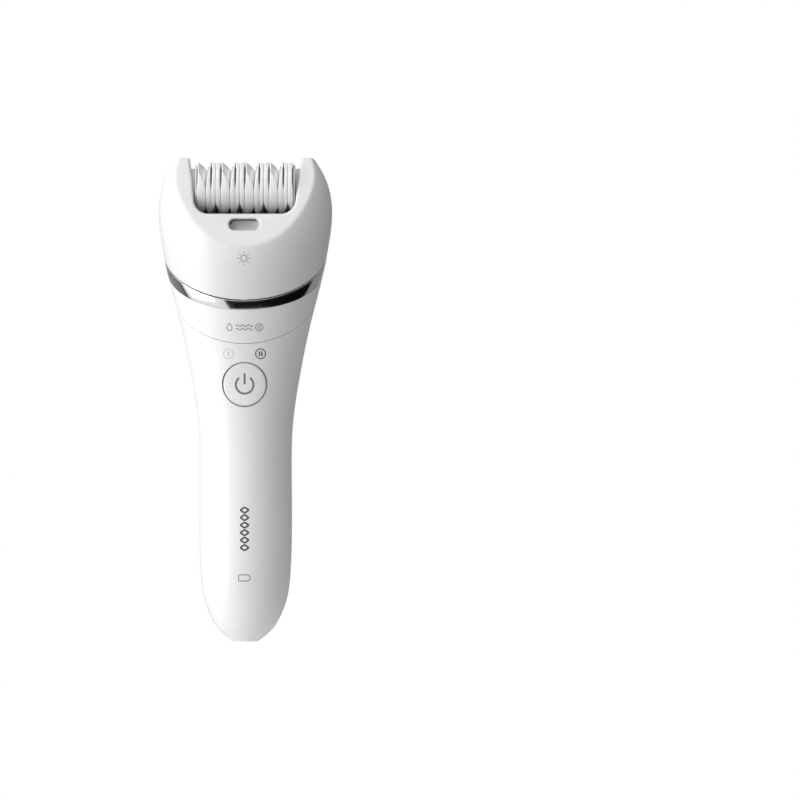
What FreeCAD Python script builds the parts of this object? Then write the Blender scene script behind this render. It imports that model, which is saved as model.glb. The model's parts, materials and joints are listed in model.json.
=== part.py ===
"""Cordless wet-and-dry epilator with a lift-off head, as a parametric FreeCAD document.

Millimetres. +Z runs up the handle, the front faces -Y and +X is the user's right. The origin is the
centre of the charging socket's mouth, at the lower tip of the handle.
"""
import FreeCAD, Part
import math
import os
import Sketcher

V = FreeCAD.Vector
X_AXIS, Y_AXIS, Z_AXIS = V(1, 0, 0), V(0, 1, 0), V(0, 0, 1)

# Driving dimensions. Each becomes a cell of the sheet, and its alias is the name given here.
SIZES = {
    # casing
    "wall": 1.8,
    "casing_gap": 0.12,
    "seam_side_z": 121.8,
    "seam_slope": 1.0,
    "chrome_side_z": 131.2,
    "chrome_slope": 0.69,
    "parting_side_z": 138.3,
    "parting_slope": 0.858,
    "parting_flatten": 12.0,
    # head scoop and drum pocket
    "bevel_foot_y": -21.2,
    "bevel_foot_z": 141.6,
    "bevel_run": 0.593,
    "back_foot_y": 19.8,
    "back_foot_z": 149.2,
    "back_run": 0.718,
    "bevel_wall": 2.8,
    "dish_depth": 1.2,
    "dish_inset": 8.8,
    "dish_half_width": 37.0,
    "dish_half_length": 59.0,
    "pocket_floor_z": 153.4,
    "pocket_half_floor": 17.6,
    "pocket_half_top": 20.6,
    "pocket_corner": 4.5,
    "light_slot_z": 149.4,
    "light_slot_width": 11.0,
    "light_slot_height": 4.2,
    # drum
    "drum_z": 162.4,
    "disc_radius": 9.8,
    "disc_waist": 6.9,
    "disc_slot": 0.3,
    "disc_gap": 0.03,
    "drum_shaft_radius": 1.5,
    "trough_radius": 10.8,
    "cheek_inner": 18.2,
    "cheek_outer": 19.8,
    # drive
    "drive_y": 2.0,
    "gear_module": 0.6,
    "gear_start_x": 20.5,
    "gear_width": 3.0,
    "crown_module": 0.5,
    "layshaft_z": 139.7,
    "layshaft_radius": 1.25,
    "pin_clearance": 0.05,
    # motor, battery and board
    "motor_radius": 8.2,
    "motor_base_z": 86.4,
    "motor_top_z": 108.4,
    "battery_radius": 7.0,
    "battery_length": 49.0,
    "battery_y": 3.2,
    "battery_base_z": 28.5,
    "chassis_y": 10.4,
    "chassis_thickness": 1.2,
    "board_y": -7.6,
    "board_thickness": 1.0,
    "deck_z": 114.6,
    "deck_thickness": 1.8,
    # controls and socket
    "button_radius": 7.75,
    "button_hole": 8.2,
    "button_sink": 0.3,
    "button_y": -12.35,
    "button_z": 92.3,
    "button_tilt": 7.5,
    "button_travel": 0.5,
    "release_z": 109.0,
    "release_proud": 0.45,
    "socket_bore": 2.0,
    "socket_radius": 3.2,
    "socket_depth": 8.0,
}

# The casing's outer skin: height, half width, centre in Y, half depth. The centre wanders in Y to give
# the handle its gentle S.
SKIN = [
    (0.0, 4.6, 0.0, 4.4),
    (1.8, 7.0, 0.1, 6.4),
    (4.0, 9.4, 0.2, 8.4),
    (8.0, 12.1, 0.4, 10.7),
    (14.8, 14.8, 0.8, 12.9),
    (23.0, 16.1, 1.3, 14.2),
    (34.0, 16.6, 2.0, 14.8),
    (60.0, 16.6, 3.4, 14.6),
    (76.0, 16.9, 3.5, 14.6),
    (86.0, 18.0, 3.2, 14.8),
    (95.0, 19.5, 2.6, 15.3),
    (106.0, 21.6, 1.8, 16.4),
    (118.0, 24.4, 0.9, 18.6),
    (130.0, 27.5, 0.3, 20.6),
    (142.0, 29.9, 0.0, 21.2),
    (151.0, 31.1, 0.0, 19.3),
    (158.0, 31.0, 0.0, 16.7),
    (163.8, 29.8, 0.0, 14.2),
    (170.0, 27.0, 0.0, 11.0),
    (174.0, 24.4, 0.0, 8.6),
]

# Spacing between neighbouring closing points of the tweezer discs, repeated along the drum.
DISC_STEPS = [3.3, 1.9, 1.54, 1.9]
DISC_PAIRS = 8
# Angles are from +Z towards -Y. Each seam opens round one angle, over a reach to either side of it, and
# again half a turn on; all of them are shut just below the front of the drum.
SLOT_OPENS = (57.0, 40.0)
MOUTH_OPENS = [(20.0, 76.0), (160.0, 42.0)]  # the two kinds of pair, taking turns along the drum
MOUTH_DEPTHS = [(2.4, 1.05), (1.1, 1.4)]  # how far each disc of those pairs draws back

DRUM_GEAR_TEETH, IDLER_TEETH, LAYSHAFT_TEETH = 12, 22, 20
CROWN_TEETH, INPUT_TEETH = 32, 10

doc = FreeCAD.newDocument("Epilator")
nodes = []


class Term:
    """A size worked out from the sheet: its number now and the expression that binds it."""

    def __init__(self, value, text=None):
        self.value = float(value)
        self.text = text if text is not None else repr(float(value))
        self.bound = text is not None

    def _join(self, other, sign, value):
        other = other if isinstance(other, Term) else Term(other)
        joined = Term(value(self.value, other.value), f"({self.text} {sign} {other.text})")
        joined.bound = self.bound or other.bound
        return joined

    def __add__(self, other):
        return self._join(other, "+", lambda a, b: a + b)

    def __radd__(self, other):
        return Term(other) + self

    def __sub__(self, other):
        return self._join(other, "-", lambda a, b: a - b)

    def __rsub__(self, other):
        return Term(other) - self

    def __mul__(self, other):
        return self._join(other, "*", lambda a, b: a * b)

    def __rmul__(self, other):
        return Term(other) * self

    def __neg__(self):
        return Term(-1.0) * self

    def __float__(self):
        return self.value


class Sizes:
    """The sheet's cells, each read as a Term by its alias."""

    def __init__(self, sizes):
        self.sheet = doc.addObject("Spreadsheet::Sheet", "Sizes")
        for row, (alias, value) in enumerate(sizes.items(), start=1):
            self.sheet.set(f"A{row}", alias)
            self.sheet.set(f"B{row}", str(value))
            self.sheet.setAlias(f"B{row}", alias)
            setattr(self, alias, Term(value, f"Sizes.{alias}"))
        doc.recompute()


S = Sizes(SIZES)


# ---------------------------------------------------------------- building blocks
def bind(obj, prop, size):
    """Sets a property to a size, bound to the sheet where the size comes from it."""
    if isinstance(size, Term) and size.bound:
        obj.setExpression(prop, size.text)
    elif prop.startswith("Placement.Base."):
        base = obj.Placement.Base
        setattr(base, prop[-1], float(size))
        obj.Placement = FreeCAD.Placement(base, obj.Placement.Rotation)
    else:
        setattr(obj, prop, float(size))


def place(obj, at, axis=Z_AXIS):
    """Puts obj's own Z along axis and its own origin at a point."""
    obj.Placement = FreeCAD.Placement(V(*[float(c) for c in at]), FreeCAD.Rotation(Z_AXIS, axis))
    for letter, size in zip("xyz", at):
        if isinstance(size, Term) and size.bound:
            obj.setExpression(f"Placement.Base.{letter}", size.text)
    return obj


def cylinder(name, radius, length, at, axis=Z_AXIS):
    obj = doc.addObject("Part::Cylinder", name)
    bind(obj, "Radius", radius)
    bind(obj, "Height", length)
    return place(obj, at, axis)


def box(name, lengths, at):
    obj = doc.addObject("Part::Box", name)
    for prop, size in zip(("Length", "Width", "Height"), lengths):
        bind(obj, prop, size)
    return place(obj, at)


def cut(name, base, *tools):
    obj = doc.addObject("Part::Cut", name)
    obj.Base = base
    obj.Tool = tools[0] if len(tools) == 1 else fuse(f"{name}_tools", *tools)
    return obj


def fuse(name, *shapes):
    obj = doc.addObject("Part::MultiFuse", name)
    obj.Shapes = list(shapes)
    return obj


def common(name, *shapes):
    obj = doc.addObject("Part::MultiCommon", name)
    obj.Shapes = list(shapes)
    return obj


def group(name, *shapes):
    obj = doc.addObject("Part::Compound", name)
    obj.Links = list(shapes)
    return obj


def feature(name, shape):
    obj = doc.addObject("Part::Feature", name)
    obj.Shape = shape
    return obj


def sketch_on(body, role, points):
    """A closed outline on one of the body's origin planes, each corner bound to its two sizes."""
    sketch = body.newObject("Sketcher::SketchObject", f"{body.Name}_outline")
    plane = next(f for f in body.Origin.OriginFeatures if f.Role == role)
    sketch.AttachmentSupport = [(plane, "")]
    sketch.MapMode = "FlatFace"
    spots = [V(float(u), float(w), 0) for u, w in points]
    count = len(points)
    for i in range(count):
        sketch.addGeometry(Part.LineSegment(spots[i], spots[(i + 1) % count]), False)
    for i in range(count):
        sketch.addConstraint(Sketcher.Constraint("Coincident", i, 2, (i + 1) % count, 1))
    for i, corner in enumerate(points):
        for kind, size, axis in (("DistanceX", corner[0], -2), ("DistanceY", corner[1], -1)):
            if float(size) == 0.0:
                sketch.addConstraint(Sketcher.Constraint("PointOnObject", i, 1, axis))
                continue
            at = sketch.addConstraint(Sketcher.Constraint(kind, -1, 1, i, 1, float(size)))
            if isinstance(size, Term) and size.bound:
                sketch.setExpression(f"Constraints[{at}]", size.text)
    return sketch


def turned(name, profile, at, axis=Z_AXIS):
    """A body turned about its own Z from a (radius, height) profile."""
    body = doc.addObject("PartDesign::Body", name)
    sketch = sketch_on(body, "XZ_Plane", profile)
    revolution = body.newObject("PartDesign::Revolution", f"{name}_revolution")
    revolution.Profile = sketch
    revolution.ReferenceAxis = (sketch, ["V_Axis"])
    revolution.Angle = 360
    return place(body, at, axis)


def padded(name, outline, length, at, axis=Z_AXIS):
    """A body padded along its own Z from a closed outline in its own XY plane."""
    body = doc.addObject("PartDesign::Body", name)
    sketch = sketch_on(body, "XY_Plane", outline)
    pad = body.newObject("PartDesign::Pad", f"{name}_pad")
    pad.Profile = sketch
    bind(pad, "Length", length)
    return place(body, at, axis)


def ring(name, outer, inner, length, at, axis=Z_AXIS):
    """A plain bush: a body turned from a rectangle."""
    return turned(name, [(inner, 0), (outer, 0), (outer, length), (inner, length)], at, axis)


def oval(name, half_width, half_depth, length, at):
    """An upright prism with an elliptical section."""
    ellipse = doc.addObject("Part::Ellipse", f"{name}_edge")
    bind(ellipse, "MajorRadius", half_width)
    bind(ellipse, "MinorRadius", half_depth)
    place(ellipse, at)
    obj = doc.addObject("Part::Extrusion", name)
    obj.Base = ellipse
    obj.Dir = Z_AXIS
    obj.DirMode = "Custom"
    bind(obj, "LengthFwd", length)
    obj.Solid = True
    return obj


def node(label, obj):
    """Marks an object as a finished sub-part and gives it the label that names its file."""
    obj.Label = label
    nodes.append(obj)
    return obj


# ---------------------------------------------------------------- shared casing shapes
def skin(name, inset, low=0.0, high=174.0):
    """The casing's skin moved inwards by inset, between two heights of the station list."""
    sections = []
    for i, (z, half_width, centre_y, half_depth) in enumerate(SKIN):
        if low <= z <= high:
            ellipse = doc.addObject("Part::Ellipse", f"{name}_station_{i}")
            bind(ellipse, "MajorRadius", half_width - inset)
            bind(ellipse, "MinorRadius", half_depth - inset)
            place(ellipse, (0, centre_y, z))
            sections.append(ellipse)
    loft = doc.addObject("Part::Loft", name)
    loft.Sections = sections
    loft.Solid = True
    return loft


def below(name, side_z, slope, lift=0.0):
    """Everything below a parting surface: steep across the front, flattening out behind."""
    flatten = float(S.parting_flatten)

    def height(y):
        rise = y if y < 0 else flatten * (1 - math.exp(-y / flatten))
        return float(side_z) + float(slope) * rise + lift

    edge = Part.BSplineCurve()
    edge.interpolate([V(-45, y, height(y)) for y in (-32, -16, -6, 0, 6, 14, 32)])
    front, back, foot = V(-45, -32, height(-32)), V(-45, 32, height(32)), -10.0
    sides = [
        edge.toShape(),
        Part.makeLine(back, V(-45, 32, foot)),
        Part.makeLine(V(-45, 32, foot), V(-45, -32, foot)),
        Part.makeLine(V(-45, -32, foot), front),
    ]
    return feature(name, Part.Face(Part.Wire(sides)).extrude(V(90, 0, 0)))


def bevel_y(side, z, shift=0.0):
    """Where a bevel plane stands at a height, moved inwards by shift; side is -1 in front, 1 behind."""
    foot_y, foot_z, run = (
        (S.bevel_foot_y, S.bevel_foot_z, S.bevel_run) if side < 0 else (S.back_foot_y, S.back_foot_z, S.back_run)
    )
    return float(foot_y) - side * ((z - float(foot_z)) * float(run) + shift)


def roof(name, shift):
    """The space between the front and back bevels, moved inwards by shift."""
    low = 100.0
    front, back = bevel_y(-1, low, shift), bevel_y(1, low, shift)
    rise = (back - front) / (float(S.bevel_run) + float(S.back_run))
    peak = V(-45, front + rise * float(S.bevel_run), low + rise)
    corners = [V(-45, front, low), V(-45, back, low), peak]
    return feature(name, Part.Face(Part.makePolygon(corners + corners[:1])).extrude(V(90, 0, 0)))


def dish(name, side):
    """The shallow ellipsoid scooped out of a bevel; side is -1 in front and 1 behind."""
    top_z = 174.0
    lean = math.atan(float(S.bevel_run if side < 0 else S.back_run))
    obj = doc.addObject("Part::Ellipsoid", name)
    bind(obj, "Radius1", S.dish_inset + S.dish_depth)
    bind(obj, "Radius2", S.dish_half_width)
    bind(obj, "Radius3", S.dish_half_length)
    obj.Angle1, obj.Angle2, obj.Angle3 = -90, 90, 360
    normal = V(0, side * math.cos(lean), math.sin(lean))
    centre = V(0, bevel_y(side, top_z), top_z) + normal * float(S.dish_inset)
    along = normal.cross(X_AXIS)
    matrix = FreeCAD.Matrix(
        1, along.x, normal.x, centre.x,
        0, along.y, normal.y, centre.y,
        0, along.z, normal.z, centre.z,
        0, 0, 0, 1,
    )
    obj.Placement = FreeCAD.Placement(matrix)
    return obj


def slot_shape(width, height, depth, at):
    """A round-ended bar lying along Y, as a shape."""
    half, end = (width - height) / 2, height / 2
    x, y, z = at
    bar = Part.makeBox(2 * half, depth, height, V(x - half, y, z - end))
    ends = [Part.makeCylinder(end, depth, V(x + s * half, y, z), Y_AXIS) for s in (-1, 1)]
    return bar.multiFuse(ends).removeSplitter()


def along_button(height):
    """A point on the power button's axis, at a height above the skin, as three sizes."""
    tilt = math.radians(float(S.button_tilt))
    return (0, S.button_y - height * math.cos(tilt), S.button_z - height * math.sin(tilt))


def button_axis():
    tilt = math.radians(float(S.button_tilt))
    return V(0, -math.cos(tilt), -math.sin(tilt))


# ---------------------------------------------------------------- casing
def casing():
    outer = skin("outer_skin", 0)
    inner = skin("inner_skin", S.wall, low=4.0, high=170.0)
    seam = below("below_seam", S.seam_side_z, S.seam_slope, -float(S.casing_gap))
    seam_top = below("below_seam_top", S.seam_side_z, S.seam_slope, float(S.casing_gap))
    chrome = below("below_chrome", S.chrome_side_z, S.chrome_slope)
    parting = below("below_parting", S.parting_side_z, S.parting_slope, -float(S.casing_gap))

    wall = cut("casing_wall", outer, inner)
    lower = common("lower_wall", wall, seam)
    socket_hole = cylinder("socket_hole", S.socket_radius, 12, (0, 0, -1))
    half = S.casing_gap * 0.5
    front_space = box("front_space", (80, 40 - half, 150), (-40, -40, -5))
    back_space = box("back_space", (80, 40, 150), (-40, half, -5))
    button_hole = cylinder("button_hole", S.button_hole, 12, along_button(-6), button_axis())
    pipe_holes = [
        cylinder(f"pipe_hole_{i}", radius + 0.05, 12, (x, -22, z), Y_AXIS)
        for i, (x, z, radius) in enumerate(LIGHT_PIPES)
    ]
    front = common("front_half", lower, front_space)
    node("front_shell", cut("front_shell", front, socket_hole, button_hole, *pipe_holes))

    back = common("back_half", lower, back_space)
    release_hole = feature("release_hole", slot_shape(13.4, 8.4, 10, (0, 13.0, float(S.release_z))))
    bosses = [
        cylinder(f"shell_boss_{i}", 2.2, 6, (0, S.chassis_y + S.chassis_thickness, z), Y_AXIS)
        for i, z in enumerate(CHASSIS_SCREWS_Z)
    ]
    boss_trim = common("boss_trim", fuse("shell_bosses", *bosses), skin("boss_skin", 0.9))
    boss_holes = [
        cylinder(f"boss_hole_{i}", 0.85, 4, (0, S.chassis_y + S.chassis_thickness, z), Y_AXIS)
        for i, z in enumerate(CHASSIS_SCREWS_Z)
    ]
    bossed = fuse("back_with_bosses", back, boss_trim)
    node("rear_shell", cut("rear_shell", bossed, socket_hole, release_hole, *boss_holes))

    collar = cut("collar_band", common("collar_space", wall, chrome), seam_top)
    node("neck_collar", collar)
    node("chrome_ring", cut("chrome_ring", common("chrome_space", wall, parting), chrome))
    return outer


LIGHT_PIPES = [(-5.8, 103.3, 1.9), (5.8, 103.3, 1.9), (0.0, 23.0, 1.3)]  # x, z, radius
CHASSIS_SCREWS_Z = (25.4, 81.0)


# ---------------------------------------------------------------- handle internals
def handle_internals(outer):
    # light pipes: clear rods behind the speed marks and the charge mark, flush with the skin
    rods = [
        cylinder(f"pipe_rod_{i}", radius, 5, (x, -18 + (6.0 if z < 50 else 0.0), z), Y_AXIS)
        for i, (x, z, radius) in enumerate(LIGHT_PIPES)
    ]
    node("light_pipes", common("light_pipes", fuse("pipe_rods", *rods), outer))

    # chassis: a spine with saddles for the cell and the motor
    spine = box("spine", (13, S.chassis_thickness, 89), (-6.5, S.chassis_y, 22.5))
    saddles = [
        box(f"saddle_{i}", (18, S.chassis_y + 1.0, 1.6), (-9, -1.0, z))
        for i, z in enumerate((31.0, 52.0, 73.0, 89.0, 103.0))
    ]
    cell_space = cylinder(
        "cell_space", S.battery_radius + 0.1, 53, (0, S.battery_y, S.battery_base_z - 1)
    )
    motor_space = cylinder("motor_space", S.motor_radius + 0.1, 28, (0, S.drive_y, 83.5))
    screw_holes = [
        cylinder(f"chassis_hole_{i}", 0.9, 3, (0, S.chassis_y - 1, z), Y_AXIS)
        for i, z in enumerate(CHASSIS_SCREWS_Z)
    ]
    frame = fuse("chassis_blank", spine, *saddles)
    node("chassis", cut("chassis", frame, cell_space, motor_space, *screw_holes))
    screws = [
        turned(
            f"chassis_screw_{i}",
            [(0, -1.2), (1.7, -1.2), (1.7, 0), (0.8, 0), (0.8, 4.4), (0, 4.8)],
            (0, S.chassis_y, z),
            Y_AXIS,
        )
        for i, z in enumerate(CHASSIS_SCREWS_Z)
    ]
    node("chassis_screws", group("chassis_screws", *screws))

    # battery
    cell = S.battery_radius
    cell_top = S.battery_length
    profile = [(0, 0), (cell, 0), (cell, cell_top - 1), (2.4, cell_top - 1), (2.4, cell_top), (0, cell_top)]
    node("battery_cell", turned("battery_cell", profile, (0, S.battery_y, S.battery_base_z)))
    tab_z = S.battery_base_z + S.battery_length
    board_back = S.board_y + S.board_thickness
    tab = box("tab_flat", (4, 9.4, 0.3), (-2, board_back + 0.3, tab_z))
    riser = box("tab_riser", (4, 0.3, 5), (-2, board_back, tab_z))
    foot = box("tab_foot", (4, 6, 0.3), (-2, 0.2, S.battery_base_z - 0.3))
    node("battery_contacts", group("battery_contacts", fuse("top_tab", tab, riser), foot))

    # board with its switch and lamps
    board = [(-6, 80), (6, 80), (6, 106), (4, 110), (-4, 110), (-6, 106)]
    plate = padded("board_plate", board, S.board_thickness, (0, S.board_y + S.board_thickness, 0), -Y_AXIS)
    plate.Placement = FreeCAD.Placement(
        V(0, float(S.board_y) + float(S.board_thickness), 0), FreeCAD.Rotation(X_AXIS, 90)
    )
    node("circuit_board", plate)
    can = box("switch_can", (6, 0.7, 6), (-3, S.board_y - 0.7, S.button_z - 3))
    plunger = cylinder("switch_plunger", 1.4, 0.25, (0, S.board_y - 0.95, S.button_z), Y_AXIS)
    node("power_switch", fuse("power_switch", can, plunger))
    lamps = [
        box(f"lamp_{i}", (1.6, 0.7, 2.0), (x - 0.8, S.board_y - 0.7, z - 1))
        for i, (x, z) in enumerate([(-5.0, 103.3), (5.0, 103.3)])
    ]
    node("indicator_lamps", group("indicator_lamps", *lamps))

    # bulkhead that closes the handle, with the oval wall that guides the head
    liner = skin("deck_skin", S.wall + 0.1, low=95.0, high=142.0)
    slab = common("deck_slab", liner, box("deck_space", (80, 80, S.deck_thickness), (-40, -40, S.deck_z)))
    wall_z = S.deck_z + S.deck_thickness
    guide = cut(
        "guide_wall",
        oval("guide_outer", 17.8, 13.6, 10, (0, S.drive_y, wall_z)),
        oval("guide_inner", 16.95, 12.95, 10, (0, S.drive_y, wall_z)),
        box("guide_window", (12, 12, 12), (-6, 8, wall_z)),
    )
    seal_hole = cylinder("seal_hole", 2.4, 6, (0, S.drive_y, S.deck_z - 2))
    finger_slot = box("finger_slot", (7, 5.6, 6), (-3.5, 13.7, S.deck_z - 2))
    node("neck_bulkhead", cut("neck_bulkhead", fuse("deck_blank", slab, guide), seal_hole, finger_slot))
    seal = [(0.85, 0), (2.4, 0), (2.4, 1.8), (1.7, 1.8), (0.9, 2.3), (0.85, 1.4)]
    node("shaft_seal", turned("shaft_seal", seal, (0, S.drive_y, S.deck_z)))
    lamp = [(0, 0), (1.9, 0), (1.9, 0.6), (1.5, 0.6), (1.5, 2.4), (1.0, 3.0), (0, 3.2)]
    node("work_lamp", turned("work_lamp", lamp, (0, -13.6, wall_z)))

    # charging socket
    depth = S.socket_depth
    tube = [
        (S.socket_bore, 0), (S.socket_radius, 0), (S.socket_radius, 10), (0, 10), (0, depth), (S.socket_bore, depth)
    ]
    node("charging_socket", turned("charging_socket", tube, (0, 0, 0)))
    legs = [box(f"socket_leg_{i}", (1.2, 0.4, 5), (x, -0.2, 10)) for i, x in enumerate((-2.2, 1.0))]
    node("socket_contacts", group("socket_contacts", *legs))


# ---------------------------------------------------------------- motor
def motor():
    radius, base, top = S.motor_radius, S.motor_base_z, S.motor_top_z
    height = top - base
    shell = [
        (radius - 0.8, 0), (radius, 0), (radius, height), (3.0, height), (3.0, height + 1.2),
        (0.8, height + 1.2), (0.8, height - 0.8), (radius - 0.8, height - 0.8),
    ]
    node("motor_can", turned("motor_can", shell, (0, S.drive_y, base)))
    magnet = cut(
        "magnet_tube",
        cylinder("magnet_outer", radius - 0.85, 15, (0, S.drive_y, base + 3)),
        cylinder("magnet_inner", radius - 2.3, 17, (0, S.drive_y, base + 2)),
        box("magnet_gap", (7, 20, 17), (-3.5, S.drive_y - 10, base + 2)),
    )
    node("motor_magnets", magnet)
    cap = [(0.85, 0), (radius, 0), (radius, 2.2), (0.85, 2.2)]
    node("motor_end_cap", turned("motor_end_cap", cap, (0, S.drive_y, base - 2.2)))
    brushes = [
        box(f"brush_{i}", (0.6, 1.4, 2.0), (x, S.drive_y - 0.7, base + 0.1)) for i, x in enumerate((-2.55, 1.95))
    ]
    node("motor_brushes", group("motor_brushes", *brushes))
    clamp = cut(
        "motor_clamp",
        box("clamp_plate", (17, 15.3, 1.1), (-8.5, -5, top + 0.05)),
        cylinder("clamp_hole", 3.15, 4, (0, S.drive_y, top - 1)),
    )
    node("motor_clamp", clamp)

    # turning parts
    shaft = [(0, 0), (0.75, 0), (0.75, 34.2), (0, 34.2)]
    node("motor_shaft", turned("motor_shaft", shaft, (0, S.drive_y, base - 1.6)))
    node("rotor_core", ring("rotor_core", 5.6, 0.75, 13, (0, S.drive_y, base + 4)))
    node("commutator", ring("commutator", 1.8, 0.75, 2.6, (0, S.drive_y, base + 0.3)))
    dog = cut(
        "drive_dog",
        cut(
            "dog_blank",
            cylinder("dog_body", 3.0, 4, (0, S.drive_y, 117.2)),
            cylinder("dog_bore", 0.75, 1.9, (0, S.drive_y, 117.2)),
        ),
        box("dog_slot", (1.6, 8, 2.4), (-0.8, S.drive_y - 4, 119.2)),
    )
    node("drive_dog", dog)


# ---------------------------------------------------------------- controls
def controls():
    # the button and its bezel follow the curve of the front, the button a little sunk
    radius, hole, axis = S.button_radius, S.button_hole, button_axis()
    sunk = skin("button_skin", S.button_sink)
    face = common("button_face", cylinder("button_blank", radius, 4, along_button(-2.6), axis), sunk)
    stem = cylinder("button_stem", 2.2, 0.6, along_button(-3.0), axis)
    node("power_button", fuse("power_button", face, stem))
    tube = ring("bezel_tube", hole, radius + 0.15, 5, along_button(-3.4), axis)
    node("button_bezel", common("button_bezel", tube, doc.getObject("outer_skin")))
    node("button_membrane", ring("button_membrane", radius + 0.15, 2.5, 0.35, along_button(-3.6), axis))

    cap = common(
        "release_cap",
        feature("release_bar", slot_shape(13.0, 8.0, 9, (0, 15.2, float(S.release_z)))),
        skin("release_skin", -S.release_proud, low=86.0, high=130.0),
    )
    grooves = [
        cylinder(f"grip_groove_{i}", 0.45, 9, (-4.5, 18.95, S.release_z + dz), X_AXIS)
        for i, dz in enumerate((-1.8, 0.0, 1.8))
    ]
    finger = box("release_finger", (6, 1.2, 14), (-3, 15.2, S.release_z - 2))
    node("release_button", cut("release_button", fuse("release_body", cap, finger), *grooves))
    coil = Part.makeHelix(0.9, 2.7, 2.0)
    wire = Part.Wire(Part.makeCircle(0.18, V(2.0, 0, 0), Y_AXIS))
    spring = Part.Wire(coil.Edges).makePipeShell([wire], True, True)
    obj = node("release_spring", feature("release_spring", spring))
    start_y = float(S.chassis_y + S.chassis_thickness) + 0.4
    obj.Placement = FreeCAD.Placement(V(0, start_y, 106.6), FreeCAD.Rotation(Z_AXIS, Y_AXIS))


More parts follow.
